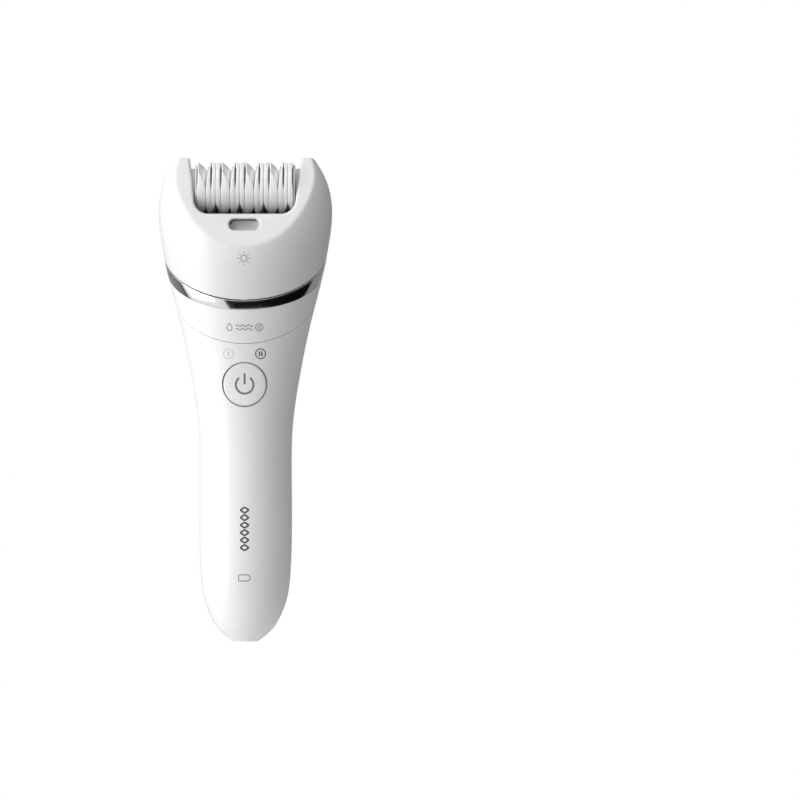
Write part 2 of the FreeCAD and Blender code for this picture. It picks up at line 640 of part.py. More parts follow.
# ---------------------------------------------------------------- head
def head():
    outer = common("head_blank", doc.getObject("outer_skin"), roof("bevels", 0))
    parting = below("under_head", S.parting_side_z, S.parting_slope, float(S.casing_gap))
    inner = skin("head_inner_skin", S.wall + 0.2, low=106.0, high=170.0)
    cavity = common("head_cavity", inner, roof("inner_bevels", float(S.bevel_wall)))
    floor, top = float(S.pocket_floor_z), 178.0
    low, high = float(S.pocket_half_floor), float(S.pocket_half_top)
    corners = [V(-low, -30, floor), V(low, -30, floor), V(high, -30, top), V(-high, -30, top)]
    trench = Part.Face(Part.makePolygon(corners + corners[:1])).extrude(V(0, 60, 0))
    edges = [e for e in trench.Edges if abs(e.BoundBox.ZMin - floor) < 0.01 and e.BoundBox.YLength > 50]
    pocket = feature("drum_pocket", trench.makeFillet(float(S.pocket_corner), edges))
    slot = feature(
        "light_slot",
        slot_shape(float(S.light_slot_width), float(S.light_slot_height), 16, (0, -26, float(S.light_slot_z))),
    )
    shell = cut("head_shell", outer, parting, cavity, pocket, slot, dish("front_dish", -1), dish("back_dish", 1))
    node("head_shell", shell)

    lens = feature(
        "light_lens",
        slot_shape(
            float(S.light_slot_width) - 0.16, float(S.light_slot_height) - 0.16, 2.2, (0, -14.6, float(S.light_slot_z))
        ),
    )
    node("light_lens", lens)
    guide_top = S.light_slot_z - S.light_slot_height * 0.5
    node("light_guide", cylinder("light_guide", 1.3, guide_top - 120.2, (0, -13.6, 120.2)))

    # frame that carries the drum: a trough with a guard behind it, and two cheeks
    space = common(
        "frame_space", skin("frame_skin", S.wall + 0.4, low=130.0, high=170.0),
        roof("frame_bevels", float(S.bevel_wall) + 0.2),
    )
    beam = box("frame_beam", (2 * S.cheek_outer, 24, 4.0), (-S.cheek_outer, -12, 149.3))
    cheeks = [
        box(f"cheek_{i}", (S.cheek_outer - S.cheek_inner, 30, 24), (x, -15, 149.3))
        for i, x in enumerate((-S.cheek_outer, S.cheek_inner))
    ]
    guard = box("rear_guard", (2 * S.cheek_inner, 5, 6), (-S.cheek_inner, 7, 153))
    trough = cylinder("trough", S.trough_radius, 2 * S.cheek_inner, (-S.cheek_inner, 0, S.drum_z), X_AXIS)
    bearing_holes = cylinder("bearing_holes", 3.0, 60, (-30, 0, S.drum_z), X_AXIS)
    idler_hole = cylinder("idler_hole", 1.0, 8, (15, IDLER_YZ[0], IDLER_YZ[1]), X_AXIS)
    pilots = [
        cylinder(f"frame_pilot_{i}", 0.95, 3.2, (x, y, 149.2)) for i, (x, y) in enumerate(HEAD_SCREWS)
    ]
    blank = common("frame_blank", fuse("frame_parts", beam, guard, *cheeks), space)
    node("head_frame", cut("head_frame", blank, trough, bearing_holes, idler_hole, *pilots))
    bearings = [
        ring(f"drum_bearing_{i}", 3.0, S.drum_shaft_radius + S.pin_clearance, 1.6, (x, 0, S.drum_z), X_AXIS)
        for i, x in enumerate((-S.cheek_outer, S.cheek_inner))
    ]
    node("drum_bearings", group("drum_bearings", *bearings))

    # base: the oval cup that plugs into the neck, and the plate that closes the head from below
    y, foot = S.drive_y, 122.4
    cup = cut(
        "base_cup",
        oval("cup_outer", 16, 12, 26.8, (0, y, foot)),
        oval("cup_inner", 14.6, 10.6, 26.8, (0, y, foot + 1.6)),
    )
    posts = [cylinder(f"base_post_{i}", 2.0, 26.8, (x, py, foot)) for i, (x, py) in enumerate(HEAD_SCREWS)]
    plate_top = below("plate_top", S.parting_side_z, S.parting_slope, 2.2)
    plate_low = below("plate_low", S.parting_side_z, S.parting_slope, 0.6)
    plate = cut("base_plate", common("plate_space", inner, plate_top), plate_low)
    plate_ring = cut("plate_ring", plate, oval("plate_hole", 15.8, 11.8, 40, (0, y, 115)))
    tools = [
        box("gear_window", (12, 15.6, 14), (19.9, y - 7.8, 132)),
        cylinder("guide_hole", 1.4, 40, (0, -13.6, 115)),
        cylinder("input_bush_hole", 2.6, 4, (0, y, foot - 1)),
        cylinder("layshaft_holes", 2.4, 42, (-17, y, S.layshaft_z), X_AXIS),
    ] + [cylinder(f"base_screw_hole_{i}", 0.95, 40, (x, py, 118)) for i, (x, py) in enumerate(HEAD_SCREWS)]
    node("head_base", cut("head_base", fuse("base_blank", cup, plate_ring, *posts), *tools))
    seal = cut(
        "head_seal",
        oval("seal_outer", 16.85, 12.85, 1.5, (0, y, foot + 2)),
        oval("seal_inner", 16.0, 12.0, 1.5, (0, y, foot + 2)),
    )
    node("head_seal", seal)
    screws = [
        turned(
            f"head_screw_{i}",
            [(0, -1.1), (1.7, -1.1), (1.7, 0), (0.9, 0), (0.9, 29.2), (0, 29.8)],
            (x, py, foot),
        )
        for i, (x, py) in enumerate(HEAD_SCREWS)
    ]
    node("head_screws", group("head_screws", *screws))
    bush = S.layshaft_radius + S.pin_clearance
    bushes = [
        ring(f"layshaft_bush_{i}", 2.4, bush, 2.0, (x, y, S.layshaft_z), X_AXIS)
        for i, x in enumerate((-16.2, 14.2))
    ]
    node("layshaft_bushes", group("layshaft_bushes", *bushes))
    node("input_bush", ring("input_bush", 2.6, bush, 2.6, (0, y, foot - 0.4)))

    cover = cut(
        "gear_cover",
        box("cover_plate", (1.2, 6.5, 27.6), (24.2, -2.5, 137.0)),
        cylinder("cover_drum_hole", S.drum_shaft_radius + S.pin_clearance, 4, (23, 0, S.drum_z), X_AXIS),
        cylinder("cover_lay_hole", bush, 4, (23, y, S.layshaft_z), X_AXIS),
        cylinder("cover_idler_hole", 1.0, 4, (23, IDLER_YZ[0], IDLER_YZ[1]), X_AXIS),
    )
    node("gear_cover", cover)
    node("idler_axle", cylinder("idler_axle", 1.0, 7.2, (S.cheek_inner, IDLER_YZ[0], IDLER_YZ[1]), X_AXIS))


HEAD_SCREWS = [(-11.0, 7.6), (11.0, 7.6), (-11.0, -3.6), (11.0, -3.6)]


# ---------------------------------------------------------------- gears
def pitch_radius(teeth, module):
    return teeth * float(module) / 2


def idler_centre():
    """The idler sits between the drum and the layshaft, at its mesh distance from the drum."""
    dy, dz = float(S.drive_y), float(S.layshaft_z) - float(S.drum_z)
    reach = pitch_radius(DRUM_GEAR_TEETH + IDLER_TEETH, S.gear_module)
    span = math.hypot(dy, dz)
    return (reach * dy / span, float(S.drum_z) + reach * dz / span)


IDLER_YZ = idler_centre()


def spur_outline(teeth, module, slack):
    """Corner points of an involute spur gear with a tooth centred on angle 0, thinned by slack."""
    pitch = pitch_radius(teeth, module)
    base = pitch * math.cos(math.radians(20))
    tip, root = pitch + float(module), pitch - 1.25 * float(module)
    half_tooth = math.pi / 2 / teeth - slack / 2 / pitch
    involute_at_pitch = math.tan(math.radians(20)) - math.radians(20)
    points = []
    for k in range(teeth):
        middle = 2 * math.pi * k / teeth
        flank = [(root, half_tooth + involute_at_pitch)]
        for step in range(5):
            radius = max(base, root) + (tip - max(base, root)) * step / 4
            roll = math.acos(min(1.0, base / radius))
            flank.append((radius, half_tooth + involute_at_pitch - (math.tan(roll) - roll)))
        points += [(r, middle - a) for r, a in flank] + [(r, middle + a) for r, a in reversed(flank)]
    return [V(r * math.cos(a), r * math.sin(a), 0) for r, a in points]


def spur_gear(name, teeth, module, width, bore, at, axis, turn=0.0, slack=0.12):
    """A spur gear whose own Z lies along axis, with its first tooth turned by an angle in degrees."""
    outline = spur_outline(teeth, module, slack)
    blank = Part.Face(Part.makePolygon(outline + outline[:1])).extrude(V(0, 0, width))
    gear = blank.cut(Part.makeCylinder(bore, width + 2, V(0, 0, -1)))
    obj = feature(name, gear)
    base = FreeCAD.Rotation(Z_AXIS, axis)
    obj.Placement = FreeCAD.Placement(V(*[float(c) for c in at]), base * FreeCAD.Rotation(Z_AXIS, turn))
    return obj


def gear_angle(obj_axis, direction):
    """The turn, in degrees, that points a gear's first tooth along a direction."""
    local = FreeCAD.Rotation(Z_AXIS, obj_axis).inverted().multVec(direction)
    return math.degrees(math.atan2(local.y, local.x))


def crown_gear(name, teeth, module, at, bore):
    """A face gear on the X axis with its teeth towards -X; its tooth gaps face down at rest."""
    radius = pitch_radius(teeth, module)
    inner, outer = radius - 0.8, radius + 0.8
    disc = Part.makeCylinder(outer + 0.2, 1.6, V(0, 0, 0)).fuse(Part.makeCylinder(3.0, 4.0, V(0, 0, 0)))
    m = float(module)
    half_root, half_tip = 0.25 * math.pi * m + 0.36 * m - 0.14, 0.25 * math.pi * m - 0.36 * m - 0.10
    tooth_face = [V(inner, -half_root, 0), V(inner, half_root, 0), V(inner, half_tip, -2.1 * m), V(inner, -half_tip, -2.1 * m)]
    tooth = Part.Face(Part.makePolygon(tooth_face + tooth_face[:1])).extrude(V(outer - inner, 0, 0))
    teeth_shapes = []
    for k in range(teeth):
        copy = tooth.copy()
        copy.rotate(V(0, 0, 0), Z_AXIS, 360.0 * k / teeth)
        teeth_shapes.append(copy)
    gear = disc.multiFuse(teeth_shapes).cut(Part.makeCylinder(bore, 12, V(0, 0, -4)))
    obj = feature(name, gear.removeSplitter())
    obj.Placement = FreeCAD.Placement(V(*[float(c) for c in at]), FreeCAD.Rotation(Z_AXIS, X_AXIS))
    return obj


def gear_train():
    y, module = float(S.drive_y), float(S.gear_module)
    start, width = float(S.gear_start_x), float(S.gear_width)
    drum, idler = V(0, 0, float(S.drum_z)), V(0, *IDLER_YZ)
    lay = V(0, y, float(S.layshaft_z))
    down = (idler - drum).normalize()
    shaft = float(S.layshaft_radius)
    half_tooth = 180.0

    turn = gear_angle(X_AXIS, down)
    gear = spur_gear(
        "drum_gear", DRUM_GEAR_TEETH, module, width, float(S.drum_shaft_radius), (start, 0, drum.z), X_AXIS, turn
    )
    node("drum_gear", gear)
    turn = gear_angle(X_AXIS, -down) + half_tooth / IDLER_TEETH
    node("idler_gear", spur_gear("idler_gear", IDLER_TEETH, module, width, 1.05, (start, idler.y, idler.z), X_AXIS, turn))
    # the idler's tooth that faces the layshaft decides the layshaft gear's turn
    step = 360.0 / IDLER_TEETH
    facing = gear_angle(X_AXIS, lay - idler)
    offset = (facing - turn) % step  # angle past the nearest idler tooth
    mesh = gear_angle(X_AXIS, idler - lay) + offset * IDLER_TEETH / LAYSHAFT_TEETH + half_tooth / LAYSHAFT_TEETH
    node(
        "layshaft_gear",
        spur_gear("layshaft_gear", LAYSHAFT_TEETH, module, width, shaft, (start, lay.y, lay.z), X_AXIS, mesh),
    )
    crown_x = pitch_radius(INPUT_TEETH, S.crown_module) + 1.45 * float(S.crown_module)
    node("crown_gear", crown_gear("crown_gear", CROWN_TEETH, S.crown_module, (crown_x + 0.35, lay.y, lay.z), shaft))
    rod = [(0, 0), (S.layshaft_radius, 0), (S.layshaft_radius, 41.3), (0, 41.3)]
    node("layshaft", turned("layshaft", rod, (-16.2, S.drive_y, S.layshaft_z), X_AXIS))

    # upright input shaft with its pinion and the tang that the motor's dog drives
    pinion_z = lay.z - pitch_radius(CROWN_TEETH, S.crown_module) - 1.9
    turn = 180.0 / INPUT_TEETH
    pinion = spur_gear("input_pinion", INPUT_TEETH, S.crown_module, 3.8, shaft, (0, y, pinion_z), Z_AXIS, turn, 0.16)
    node("input_pinion", pinion)
    tang = box("input_tang", (1.2, 5, 1.9), (-0.6, S.drive_y - 2.5, 119.4))
    flange = cylinder("input_flange", 2.6, 0.6, (0, S.drive_y, 121.3))
    stem = cylinder("input_stem", S.layshaft_radius, 13, (0, S.drive_y, 121.5))
    node("input_shaft", fuse("input_shaft", tang, flange, stem))


# ---------------------------------------------------------------- drum
def closing_points():
    """X of each place where two neighbouring discs meet, centred on the drum."""
    points = [0.0]
    for i in range(2 * DISC_PAIRS):
        points.append(points[-1] + DISC_STEPS[i % len(DISC_STEPS)])
    middle = points[-1] / 2
    return [p - middle for p in points]


def opening(angle, centre, reach):
    """How far open a seam is at an angle: 1 round its centre, 0 beyond its reach; it repeats every half turn."""
    away = (math.degrees(angle) - centre + 90) % 180 - 90
    if abs(away) >= reach:
        return 0.0
    return min(1.0, 0.8 + 0.8 * math.cos(math.pi * away / reach))


def disc_shape(first, second, opens, depth):
    """A thick disc between two seams, with a narrow slot at `first` and a mouth `depth` deep at `second`."""
    rim, gap, slot = float(S.disc_radius), float(S.disc_gap), float(S.disc_slot)
    hub, waist = float(S.drum_shaft_radius) + 0.03, float(S.disc_waist)
    low, high = first + gap, second - gap
    sections = []
    count = 36
    for k in range(count):
        angle = 2 * math.pi * k / count
        near = low + slot * opening(angle, *SLOT_OPENS)
        far = high - depth * opening(angle, *opens)
        outline = [(hub, low), (waist, low), (8.4, near), (rim, near), (rim, far), (8.4, far), (waist, high), (hub, high)]
        ring_points = [V(x, -r * math.sin(angle), r * math.cos(angle)) for r, x in outline]
        sections.append(Part.makePolygon(ring_points + ring_points[:1]))
    return Part.makeLoft(sections, True, False, True)


def drum():
    points = closing_points()
    for pair in range(DISC_PAIRS):
        discs = []
        for side in (0, 1):
            i = 2 * pair + side
            kind = pair % len(MOUTH_OPENS)
            # odd discs face the other way, so that neighbours open and close at the same angles
            make = disc_shape if side == 0 else mirrored_disc
            shape = make(points[i], points[i + 1], MOUTH_OPENS[kind], MOUTH_DEPTHS[kind][side])
            discs.append(feature(f"disc_{i + 1}", shape))
            place(discs[-1], (0, 0, S.drum_z))
        label = f"tweezer_pair_{pair + 1}"
        node(label, group(label, *discs))
    rod = [(0, 0), (S.drum_shaft_radius, 0), (S.drum_shaft_radius, 45.8), (0, 45.8)]
    node("drum_shaft", turned("drum_shaft", rod, (-20.6, 0, S.drum_z), X_AXIS))
    caps = [
        ring(f"end_cap_{i}", 9.0, S.drum_shaft_radius, 0.6, (x, 0, S.drum_z), X_AXIS)
        for i, x in enumerate((-17.95, 17.35))
    ]
    node("drum_end_caps", group("drum_end_caps", *caps))


def mirrored_disc(first, second, opens, depth):
    """The same disc built from the other end: its mouth is at `first`."""
    shape = disc_shape(-second, -first, opens, depth)
    return shape.mirror(V(0, 0, 0), X_AXIS)


# ---------------------------------------------------------------- check and write
def check(obj):
    shape = obj.Shape
    if shape.isNull() or not shape.isValid() or shape.Volume <= 0:
        raise RuntimeError(f"{obj.Label}: its shape is null, invalid or empty")


def main():
    outer = casing()
    handle_internals(outer)
    motor()
    controls()
    head()
    gear_train()
    drum()
    doc.recompute()
    for obj in doc.Objects:
        if {"Invalid", "Error"} & set(obj.State):
            raise RuntimeError(f"{obj.Name} failed to build: {obj.State}")
    os.makedirs("parts", exist_ok=True)
    for obj in nodes:
        check(obj)
        obj.Shape.exportStep(f"parts/{obj.Label}.step")
    print(f"{len(nodes)} sub-parts written")


main()
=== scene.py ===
"""Cordless epilator: finished surfaces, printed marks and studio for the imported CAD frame.

Sizes in the dataclasses are millimetres; mesh coordinates are metres in the frame's own axes.
"""
import json
import logging
import math
from dataclasses import dataclass, field
from enum import Enum
from typing import Callable, Sequence

import bmesh
import bpy
import numpy as np
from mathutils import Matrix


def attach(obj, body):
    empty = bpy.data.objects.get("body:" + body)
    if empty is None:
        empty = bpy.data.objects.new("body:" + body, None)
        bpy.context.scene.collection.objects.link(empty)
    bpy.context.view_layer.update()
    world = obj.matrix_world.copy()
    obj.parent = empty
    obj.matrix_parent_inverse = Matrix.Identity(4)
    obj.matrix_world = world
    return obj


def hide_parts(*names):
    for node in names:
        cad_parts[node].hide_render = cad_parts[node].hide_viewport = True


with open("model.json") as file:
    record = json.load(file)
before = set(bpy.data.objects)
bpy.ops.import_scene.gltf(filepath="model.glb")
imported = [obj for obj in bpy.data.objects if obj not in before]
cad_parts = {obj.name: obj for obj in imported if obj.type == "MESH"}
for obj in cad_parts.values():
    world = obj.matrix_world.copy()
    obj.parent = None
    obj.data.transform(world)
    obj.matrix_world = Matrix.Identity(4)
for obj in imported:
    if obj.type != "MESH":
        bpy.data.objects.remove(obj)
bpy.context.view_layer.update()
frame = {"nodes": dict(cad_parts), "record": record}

import openvdb
from mathutils import Matrix, Vector

MM = 0.001
log = logging.getLogger("epilator")

Point = tuple[float, float, float]
Flat = tuple[float, float]
Face = tuple[int, ...]
Shell = tuple[list[Point], list[Face]]


class Body(Enum):
    """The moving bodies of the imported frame."""

    HANDLE = "handle"
    HEAD = "head"
    DRUM = "drum"
    BUTTON = "power_button"


# ------------------------------------------------------------------ mesh helpers
def new_object(name: str, points: Sequence[Point], faces: Sequence[Sequence[int]]) -> bpy.types.Object:
    """Makes a mesh object from points in millimetres.

    Args:
        name: the object's name.
        points: vertex positions in millimetres.
        faces: vertex indices of each face.

    Returns:
        The linked object.
    """
    mesh = bpy.data.meshes.new(name)
    mesh.from_pydata([tuple(float(c) * MM for c in p) for p in points], [], [tuple(f) for f in faces])
    obj = bpy.data.objects.new(name, mesh)
    bpy.context.scene.collection.objects.link(obj)
    return obj


def tidy_mesh(obj: bpy.types.Object, merge: float = 0.0) -> bpy.types.Object:
    """Merges doubled points, makes the normals consistent and shades the mesh smooth.

    Args:
        obj: the mesh object.
        merge: merging distance in millimetres, or 0 to leave the points alone.

    Returns:
        The same object.
    """
    work = bmesh.new()
    work.from_mesh(obj.data)
    if merge > 0:
        bmesh.ops.remove_doubles(work, verts=work.verts, dist=merge * MM)
        bmesh.ops.dissolve_degenerate(work, edges=work.edges, dist=merge * MM * 0.1)
    bmesh.ops.recalc_face_normals(work, faces=work.faces)
    for face in work.faces:
        face.smooth = True
    work.to_mesh(obj.data)
    work.free()
    return obj


def smooth_by_angle(obj: bpy.types.Object, degrees: float = 35.0) -> bpy.types.Object:
    """Marks edges sharper than an angle as sharp and shades the rest smooth; returns the object."""
    work = bmesh.new()
    work.from_mesh(obj.data)
    limit = math.radians(degrees)
    for face in work.faces:
        face.smooth = True
    for edge in work.edges:
        edge.smooth = edge.calc_face_angle(0.0) < limit
    work.to_mesh(obj.data)
    work.free()
    return obj


def turn(count: int, shift: float = 0.0) -> list[float]:
    """Angles in radians of even steps round a full turn, the first one moved on by a share of a step."""
    return [2 * math.pi * (k + shift) / count for k in range(count)]


def grid_faces(rows: int, cols: int, close_rows: bool, close_cols: bool) -> list[Face]:
    """Quads of a rows-by-cols grid of points, wrapped round either way when it is closed."""
    faces = []
    for i in range(rows if close_rows else rows - 1):
        for j in range(cols if close_cols else cols - 1):
            after, beside = (i + 1) % rows, (j + 1) % cols
            faces.append((i * cols + j, i * cols + beside, after * cols + beside, after * cols + j))
    return faces


def apply_modifiers(obj: bpy.types.Object) -> None:
    """Gives an object the mesh its modifiers make, and clears them."""
    graph = bpy.context.evaluated_depsgraph_get()
    result = bpy.data.meshes.new_from_object(obj.evaluated_get(graph))
    obj.modifiers.clear()
    obj.data = result


def cut_away(obj: bpy.types.Object, tool: bpy.types.Object) -> None:
    """Takes a closed tool mesh out of a closed object and deletes the tool."""
    modifier = obj.modifiers.new("cut", "BOOLEAN")
    modifier.operation = "DIFFERENCE"
    modifier.solver = "EXACT"
    modifier.object = tool
    apply_modifiers(obj)
    bpy.data.objects.remove(tool)


def lathe(name: str, profile: Sequence[Flat], place: Matrix, turns: int) -> bpy.types.Object:
    """Turns a (radius, height) profile about its own Z.

    Args:
        name: the object's name.
        profile: a closed outline in millimetres, not touching the axis twice in a row.
        place: rotation and millimetre translation of the piece.
        turns: points round the axis.

    Returns:
        The turned object.
    """
    points = []
    for radius, height in profile:
        for angle in turn(turns):
            spot = place @ Vector((radius * math.cos(angle), radius * math.sin(angle), height))
            points.append(tuple(spot))
    obj = new_object(name, points, grid_faces(len(profile), turns, True, True))
    return smooth_by_angle(tidy_mesh(obj, 0.001), 40)


# ------------------------------------------------------------------ casing skin
@dataclass(frozen=True)
class Skin:
    """The casing's outer skin: ellipses whose size and centre change smoothly with height."""

    # height, half width, Y of the centre, half depth
    stations: tuple[tuple[float, float, float, float], ...] = (
        (0.0, 4.6, 0.0, 4.4), (1.8, 7.0, 0.1, 6.4), (4.0, 9.4, 0.2, 8.4), (8.0, 12.1, 0.4, 10.7),
        (14.8, 14.8, 0.8, 12.9), (23.0, 16.1, 1.3, 14.2), (34.0, 16.6, 2.0, 14.8), (60.0, 16.6, 3.4, 14.6),
        (76.0, 16.9, 3.5, 14.6), (86.0, 18.0, 3.2, 14.8), (95.0, 19.5, 2.6, 15.3), (106.0, 21.6, 1.8, 16.4),
        (118.0, 24.4, 0.9, 18.6), (130.0, 27.5, 0.3, 20.6), (142.0, 29.9, 0.0, 21.2),
        (151.0, 31.1, 0.0, 19.3), (158.0, 31.0, 0.0, 16.7), (163.8, 29.8, 0.0, 14.2),
        (170.0, 27.0, 0.0, 11.0), (174.0, 24.4, 0.0, 8.6),
    )
    flatten: float = 12.0

    def _curve(self, column: int) -> tuple[np.ndarray, np.ndarray, np.ndarray]:
        """Heights, values and second derivatives of the natural cubic through one column."""
        table = np.array(self.stations)
        z, v = table[:, 0], table[:, column]
        n, h = len(z), np.diff(z)
        system, right = np.eye(n), np.zeros(n)
        for i in range(1, n - 1):
            system[i, i - 1], system[i, i], system[i, i + 1] = h[i - 1], 2 * (h[i - 1] + h[i]), h[i]
            right[i] = 6 * ((v[i + 1] - v[i]) / h[i] - (v[i] - v[i - 1]) / h[i - 1])
        return z, v, np.linalg.solve(system, right)

    def _value(self, column: int, height: np.ndarray) -> np.ndarray:
        """The cubic's value at each height."""
        z, v, bend = CURVES.setdefault(column, self._curve(column))
        t = np.clip(height, z[0], z[-1])
        i = np.clip(np.searchsorted(z, t) - 1, 0, len(z) - 2)
        h = z[i + 1] - z[i]
        a, b = (z[i + 1] - t) / h, (t - z[i]) / h
        return a * v[i] + b * v[i + 1] + ((a**3 - a) * bend[i] + (b**3 - b) * bend[i + 1]) * h * h / 6

    def half_width(self, z: np.ndarray) -> np.ndarray:
        """Half the width at each height."""
        return self._value(1, np.asarray(z, float))

    def centre(self, z: np.ndarray) -> np.ndarray:
        """Y of the section's centre at each height."""
        return self._value(2, np.asarray(z, float))

    def half_depth(self, z: np.ndarray) -> np.ndarray:
        """Half the depth at each height."""
        return self._value(3, np.asarray(z, float))

    def spot(self, angle: np.ndarray, z: np.ndarray, inset: np.ndarray) -> np.ndarray:
        """Points on the skin.

        Args:
            angle: angle round the section from the front, in radians, positive towards +X.
            z: height.
            inset: distance inside the skin.

        Returns:
            An array of XYZ in millimetres.
        """
        x = (self.half_width(z) - inset) * np.sin(angle)
        y = self.centre(z) - (self.half_depth(z) - inset) * np.cos(angle)
        return np.stack(np.broadcast_arrays(x, y, z), axis=-1)

    def front(self, x: float, z: float) -> float:
        """Y of the front skin at a place seen from the front."""
        ratio = min(0.999, abs(x) / float(self.half_width(z)))
        return float(self.centre(z)) - float(self.half_depth(z)) * math.sqrt(1 - ratio * ratio)

    def parting(self, y: np.ndarray, side_z: float, slope: float) -> np.ndarray:
        """Height of a parting surface: steep in front, flattening out behind."""
        y = np.asarray(y, float)
        rise = np.where(y < 0, y, self.flatten * (1 - np.exp(-np.maximum(y, 0) / self.flatten)))
        return side_z + slope * rise

    def meeting_height(self, angle: np.ndarray, side_z: float, slope: float) -> np.ndarray:
        """Height at which the skin meets a parting surface at each angle."""
        z = np.full(np.shape(angle), side_z, float)
        for _ in range(40):
            y = self.centre(z) - self.half_depth(z) * np.cos(angle)
            z = self.parting(y, side_z, slope)
        return z


CURVES: dict[int, tuple[np.ndarray, np.ndarray, np.ndarray]] = {}
SKIN = Skin()


@dataclass(frozen=True)
class Parting:
    """One of the slanting joints round the neck."""

    side_z: float
    slope: float


SEAM = Parting(121.8, 1.0)
BAND_FOOT = Parting(131.2, 0.69)
HEAD_FOOT = Parting(138.3, 0.858)


def lip_rows(radius: float, wall: float) -> list[Flat]:
    """(height back from the edge, inset) of a rounded lip, from the skin round to the inner wall."""
    steps = 4
    curve = [
        (radius * (1 - math.sin(math.pi / 2 * k / steps)), radius * (1 - math.cos(math.pi / 2 * k / steps)))
        for k in range(steps + 1)
    ]
    return curve + [(0.0, wall * 0.6), (0.0, wall)]


@dataclass
class SkinBand:
    """A closed ring of casing between two parting joints, with rounded lips and a crowned face."""

    name: str
    low: Parting
    high: Parting
    low_gap: float
    high_gap: float
    lip: float
    wall: float = 1.6
    crown: float = 0.0
    rows: int = 26
    cols: int = 288

    def build(self) -> bpy.types.Object:
        """Builds the ring and returns it."""
        angle = np.linspace(0, 2 * np.pi, self.cols, endpoint=False)
        foot = SKIN.meeting_height(angle, self.low.side_z, self.low.slope) + self.low_gap
        top = SKIN.meeting_height(angle, self.high.side_z, self.high.slope) - self.high_gap
        rings = []
        for back, inset in reversed(lip_rows(self.lip, self.wall)):
            rings.append(SKIN.spot(angle, foot + back, np.full_like(angle, inset)))
        for t in np.linspace(0, 1, self.rows)[1:-1]:
            swell = self.crown * (1 - (2 * t - 1) ** 2)
            z = foot + self.lip + (top - foot - 2 * self.lip) * t
            rings.append(SKIN.spot(angle, z, np.full_like(angle, -swell)))
        for back, inset in lip_rows(self.lip, self.wall):
            rings.append(SKIN.spot(angle, top - back, np.full_like(angle, inset)))
        for t in (0.75, 0.5, 0.25):
            rings.append(SKIN.spot(angle, foot + (top - foot) * t, np.full_like(angle, self.wall)))
        points = np.concatenate(rings)
        obj = new_object(self.name, points, grid_faces(len(rings), self.cols, True, True))
        return smooth_by_angle(tidy_mesh(obj), 50)


@dataclass
class HandleHalf:
    """The front or the rear half of the handle, from the tip up to the slanting seam."""

    name: str
    front: bool
    gap: float = 0.04
    lip: float = 0.09
    wall: float = 1.6
    rows: int = 230
    cols: int = 150

    def split_angle(self, z: np.ndarray) -> np.ndarray:
        """Angle from the front at which the plane Y = 0 meets the skin."""
        return np.arccos(np.clip(SKIN.centre(z) / SKIN.half_depth(z), -1, 1))

    def angles(self, share: np.ndarray, z: np.ndarray) -> np.ndarray:
        """Angles across the half at each height; share runs from -1 to 1."""
        split = self.split_angle(z)
        play = self.gap / SKIN.half_depth(z)
        if self.front:
            return share * (split - play)
        return np.pi + share * (np.pi - split - play)

    def top(self, share: np.ndarray) -> np.ndarray:
        """Height of the upper edge at each share."""
        z = np.full(np.shape(share), SEAM.side_z, float)
        for _ in range(40):
            y = SKIN.centre(z) - SKIN.half_depth(z) * np.cos(self.angles(share, z))
            z = SKIN.parting(y, SEAM.side_z, SEAM.slope)
        return z - 0.12

    def build(self) -> bpy.types.Object:
        """Builds the half shell as a closed mesh and returns it."""
        lips = lip_rows(self.lip, self.wall)
        across = np.concatenate([[-1.0] * len(lips), np.linspace(-1, 1, self.cols)[1:-1], [1.0] * len(lips)])
        side_inset = np.concatenate(
            [[i for _, i in reversed(lips)], np.zeros(self.cols - 2), [i for _, i in lips]]
        )
        side_back = np.concatenate(
            [[b for b, _ in reversed(lips)], np.zeros(self.cols - 2), [b for b, _ in lips]]
        )
        edge = self.top(across)
        sign = np.sign(across) * (side_back > 0)
        rings = []

        def ring(z: np.ndarray, inset: float) -> None:
            """Adds one row of points."""
            angle = self.angles(across, z) - sign * side_back / SKIN.half_depth(z)
            rings.append(SKIN.spot(angle, z, np.maximum(side_inset, inset)))

        inner_rows, floor = 60, 1.2
        tip_share = 1 - np.cos(np.linspace(0, np.pi / 2, self.rows))
        ring(edge * 0, self.wall * 0.7)
        for t in tip_share[:-1]:
            ring((edge - self.lip) * t, 0.0)
        for back, inset in lips:
            ring(edge - back, inset)
        for t in np.linspace(1, 0, inner_rows)[1:]:
            ring(2.2 + (edge - 2.4) * t, self.wall)
        ring(edge * 0 + floor, self.wall * 0.8)
        points = np.concatenate(rings)
        obj = new_object(self.name, points, grid_faces(len(rings), len(across), True, False))
        return tidy_mesh(obj, 0.002)


# ------------------------------------------------------------------ head shell
def rounded_max(a: np.ndarray, b: np.ndarray, radius: float) -> np.ndarray:
    """The larger of two distance fields with the ridge between them rounded off."""
    share = np.maximum(radius - np.abs(a - b), 0) / radius
    return np.maximum(a, b) + share * share * radius / 4


